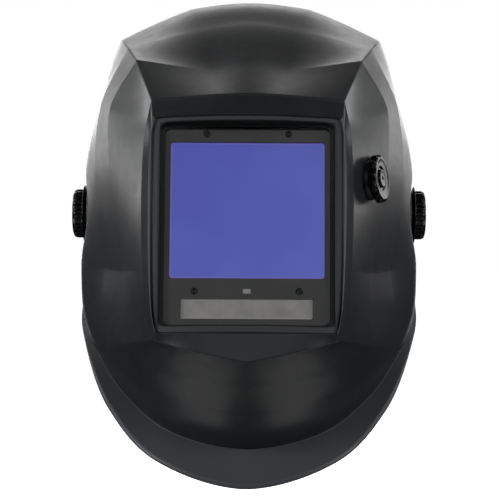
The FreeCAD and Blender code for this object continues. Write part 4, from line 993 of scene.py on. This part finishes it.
RATCHET_KNOB_BACK = 147.6
RATCHET_PROFILE = [
    (3.3, 0.3), (21.0, 0.0), (22.6, 0.2, 0.2), (24.0, 0.9, 0.7), (24.8, 1.8, 1), (25.0, 3.2, 1),
    (25.0, 9.8, 1), (24.7, 11.6, 1), (23.8, 13.1, 0.8), (22.4, 14.0, 0.45), (20.8, 14.35, 0.1), (19.4, 14.3),
    (18.4, 13.9), (17.6, 13.2), (16.4, 12.9), (9.4, 12.7), (8.6, 12.9), (8.0, 13.5), (7.2, 13.75),
    (4.2, 13.75), (3.6, 13.5), (3.2, 13.0),
]


def ratchet_knob(material):
    """The nape's drawing knob: deep scallops round the edge and a dished face."""
    base, tip = on_band([[0, RATCHET_KNOB_BACK, 0], [0, RATCHET_KNOB_BACK + 1, 0]])
    shape = turned(frame_of(base, tip - base), RATCHET_PROFILE, 280, 14, 2.6, 1.2)
    piece("ratchet_knob_moulding", "ratchet_knob", shape, material)


# ---------------- CAD nodes that stay

# How far, in millimetres, a CAD node's sharp edges are rounded, and where that isn't BEVEL.
BEVEL = 0.25
BEVELS = {"adf_holder": 0.4, "ratchet_housing": 0.8, "ratchet_cover": 0.6}
BEVELS |= dict.fromkeys(("adf_front_housing", "adf_rear_housing", "headband_front", "side_rail_left",
                         "side_rail_right", "carriage_left", "carriage_right"), 0.5)


def keep(node, material):
    """Give a CAD node its finish, and round its sharp edges."""
    made = cad_nodes[node]
    made.data.materials.clear()
    made.data.materials.append(material)
    round_edges(made, BEVELS.get(node, BEVEL), 35)


# Plain moulded finishes: colour, roughness, pitch and depth of the grain in millimetres.
PLASTICS = {
    "trim_black": ((0.010, 0.010, 0.011), 0.55, 0.8, 0.03),
    "shutter_glass": ((0.03, 0.07, 0.055), 0.12, 6.0, 0.002),
    "sensor_dark": ((0.010, 0.010, 0.013), 0.10, 2.0, 0.002),
    "status_pale": ((0.72, 0.67, 0.68), 0.35, 1.0, 0.01),
    "board_green": ((0.010, 0.085, 0.035), 0.35, 1.5, 0.02),
    "washer_black": ((0.008, 0.008, 0.008), 0.5, 0.9, 0.02),
    "band_plastic": ((0.026, 0.027, 0.030), 0.42, 0.7, 0.02),
    "stud_plastic": ((0.034, 0.034, 0.037), 0.32, 1.0, 0.01),
    "lead_sheath": ((0.012, 0.012, 0.012), 0.5, 1.0, 0.02),
    "thread": ((0.045, 0.045, 0.048), 0.7, 0.4, 0.05),
}


def finishes():
    """Every material slot's finish."""
    made = {name: moulded(name, *settings) for name, settings in PLASTICS.items()}
    made["shell_black"] = shell_plastic()
    made["knob_gloss"] = moulded("knob_gloss", (0.0028, 0.003, 0.0034), 0.24, 1.2, 0.012,
                                 **{"Specular IOR Level": 0.22})
    made["cartridge_black"] = panel_plastic()
    made["clear_lens"] = clear_plate()
    made["filter_blue"] = filter_glass()
    made["solar_cell"] = solar_film()
    made["cell_steel"] = metal("cell_steel", (0.55, 0.55, 0.56), 0.30, (1, 1, 8))
    made["insert_brass"] = metal("insert_brass", (0.72, 0.52, 0.24), 0.28, (1, 8, 1))
    made["sweat_cloth"] = woven("sweat_cloth", (0.055, 0.055, 0.060), 0.9, 0.15)
    made["pad_foam"] = woven("pad_foam", (0.045, 0.045, 0.050), 0.8, 0.12)
    return made


# ---------------- studio

CAMERA_PLACE = (0.012, -1.330, -0.025)
CAMERA_YAW, CAMERA_ROLL = 0.00843, 0.0056
CAMERA_LENS, CAMERA_SENSOR, CAMERA_RANGE = 136.66, 36, 50
FLOOR_DROP = 0.10  # the helmet hangs as on a head, this far clear of the floor
FLOOR_HALF = 30.0
FLOOR_WHITE, FLOOR_GLOW = (0.8, 0.8, 0.8), 1.1
SURROUND = 0.02  # strength of the white surround for everything but the camera
CENTRE = (0, -0.02, 0)

# Soft lights: name, place, what it faces, width and height, radiance. One with two radiances is a pair,
# the first at the wearer's left and the second its mirror image.
LIGHTS = [
    ("wing", (1.24, -0.72, 0.20), CENTRE, (0.8, 0.8), (4.6, 6.2)),
    ("facet", (0.36, 0.15, 0.09), (0, 0.15, 0.09), (0.15, 0.13), (2.3, 2.5)),
    ("flank", (0.85, 1.20, 0.34), CENTRE, (0.6, 0.56), (1.3, 1.5)),
    ("rim", (0.30, 1.30, 0.24), CENTRE, (0.40, 0.60), (2.8, 3.8)),
    ("shoulder", (1.08, 0.75, 0.61), CENTRE, (0.6, 0.6), (0.8, 1.0)),
    ("lip", (0.50, 0.05, 0.62), (0.10, -0.02, -0.11), (0.3, 0.3), (2.0, 2.0)),
    ("front", (0.05, -1.40, 0.48), CENTRE, (1.3, 0.9), (0.52,)),
    ("crown", (0, 0.34, 0.33), (0, -1, 0.33), (0.40, 0.10), (2.6,)),
    ("inside", (0, 1.70, 0.10), CENTRE, (1.3, 1.0), (0.9,)),
    ("below", (0, -0.60, -1.0), CENTRE, (0.5, 0.8), (0.35,)),
    ("below", (0.55, -0.15, -0.85), CENTRE, (0.6, 0.6), (0.7, 0.7)),
]


def area_light(name, place, target, size, radiance):
    """A soft rectangular light of even radiance, unseen by the camera."""
    data = bpy.data.lights.new(name, "AREA")
    data.shape = "RECTANGLE"
    data.size, data.size_y = size
    data.energy = radiance * math.pi * size[0] * size[1]
    made = bpy.data.objects.new(name, data)
    bpy.context.scene.collection.objects.link(made)
    way = Vector(target) - Vector(place)
    made.matrix_world = Matrix.Translation(place) @ way.to_track_quat("-Z", "Y").to_matrix().to_4x4()
    made.visible_camera = False


def studio():
    """White floor and surround, soft lights all round, and the camera."""
    scene = bpy.context.scene
    scene.view_settings.view_transform = "Standard"
    world = bpy.data.worlds.new("surround")
    scene.world = world
    world.use_nodes = True
    tree = world.node_tree
    background = tree.nodes["Background"]
    background.inputs["Color"].default_value = (1, 1, 1, 1)
    seen = add(tree, "LightPath").outputs["Is Camera Ray"]
    strength = add(tree, "MapRange", {"Value": seen, "To Min": SURROUND, "To Max": 1.0})
    put(background.inputs["Strength"], strength.outputs["Result"])

    for name, (x, y, z), (to_x, to_y, to_z), size, radiances in LIGHTS:
        for (label, side), radiance in zip(SIDES, radiances):
            full_name = f"{name}_{label}" if len(radiances) == 2 else name
            area_light(full_name, (side * x, y, z), (side * to_x, to_y, to_z), size, radiance)

    level = cad_box[0][2] - FLOOR_DROP
    corners = [(-1, -1), (1, -1), (1, 1), (-1, 1)]
    mesh = bpy.data.meshes.new("floor")
    mesh.from_pydata([(x * FLOOR_HALF, y * FLOOR_HALF, level) for x, y in corners], [], [(0, 1, 2, 3)])
    floor = bpy.data.objects.new("floor", mesh)
    scene.collection.objects.link(floor)
    material, tree, shader = principled("floor_white", FLOOR_WHITE, 0.85)
    shader.inputs["Emission Color"].default_value = (1, 1, 1, 1)
    shader.inputs["Emission Strength"].default_value = FLOOR_GLOW
    tint(shader, FLOOR_WHITE, object_noise(tree, 400, 2), 0.02)
    mesh.materials.append(material)
    floor.visible_diffuse = floor.visible_glossy = floor.visible_shadow = False

    camera_data = bpy.data.cameras.new("camera")
    camera_data.lens, camera_data.sensor_width = CAMERA_LENS, CAMERA_SENSOR
    camera_data.clip_end = CAMERA_RANGE
    camera = bpy.data.objects.new("camera", camera_data)
    scene.collection.objects.link(camera)
    upright = Matrix.Rotation(math.pi / 2, 4, "X")
    yaw, roll = Matrix.Rotation(CAMERA_YAW, 4, "Z"), Matrix.Rotation(CAMERA_ROLL, 4, "Z")
    camera.matrix_world = Matrix.Translation(CAMERA_PLACE) @ yaw @ upright @ roll
    scene.camera = camera


# ---------------- build

studio()
finish = finishes()
shell_piece(finish["shell_black"])
pivot_pieces(finish)
shade_pieces(finish["knob_gloss"])
sensor_pieces(finish["sensor_dark"])
pad_pieces(finish)
crown_straps(finish["band_plastic"])
ratchet_knob(finish["knob_gloss"])

for node_name in cad_nodes:
    if not cad_nodes[node_name].hide_render:
        keep(node_name, finish[slot_of[node_name]])
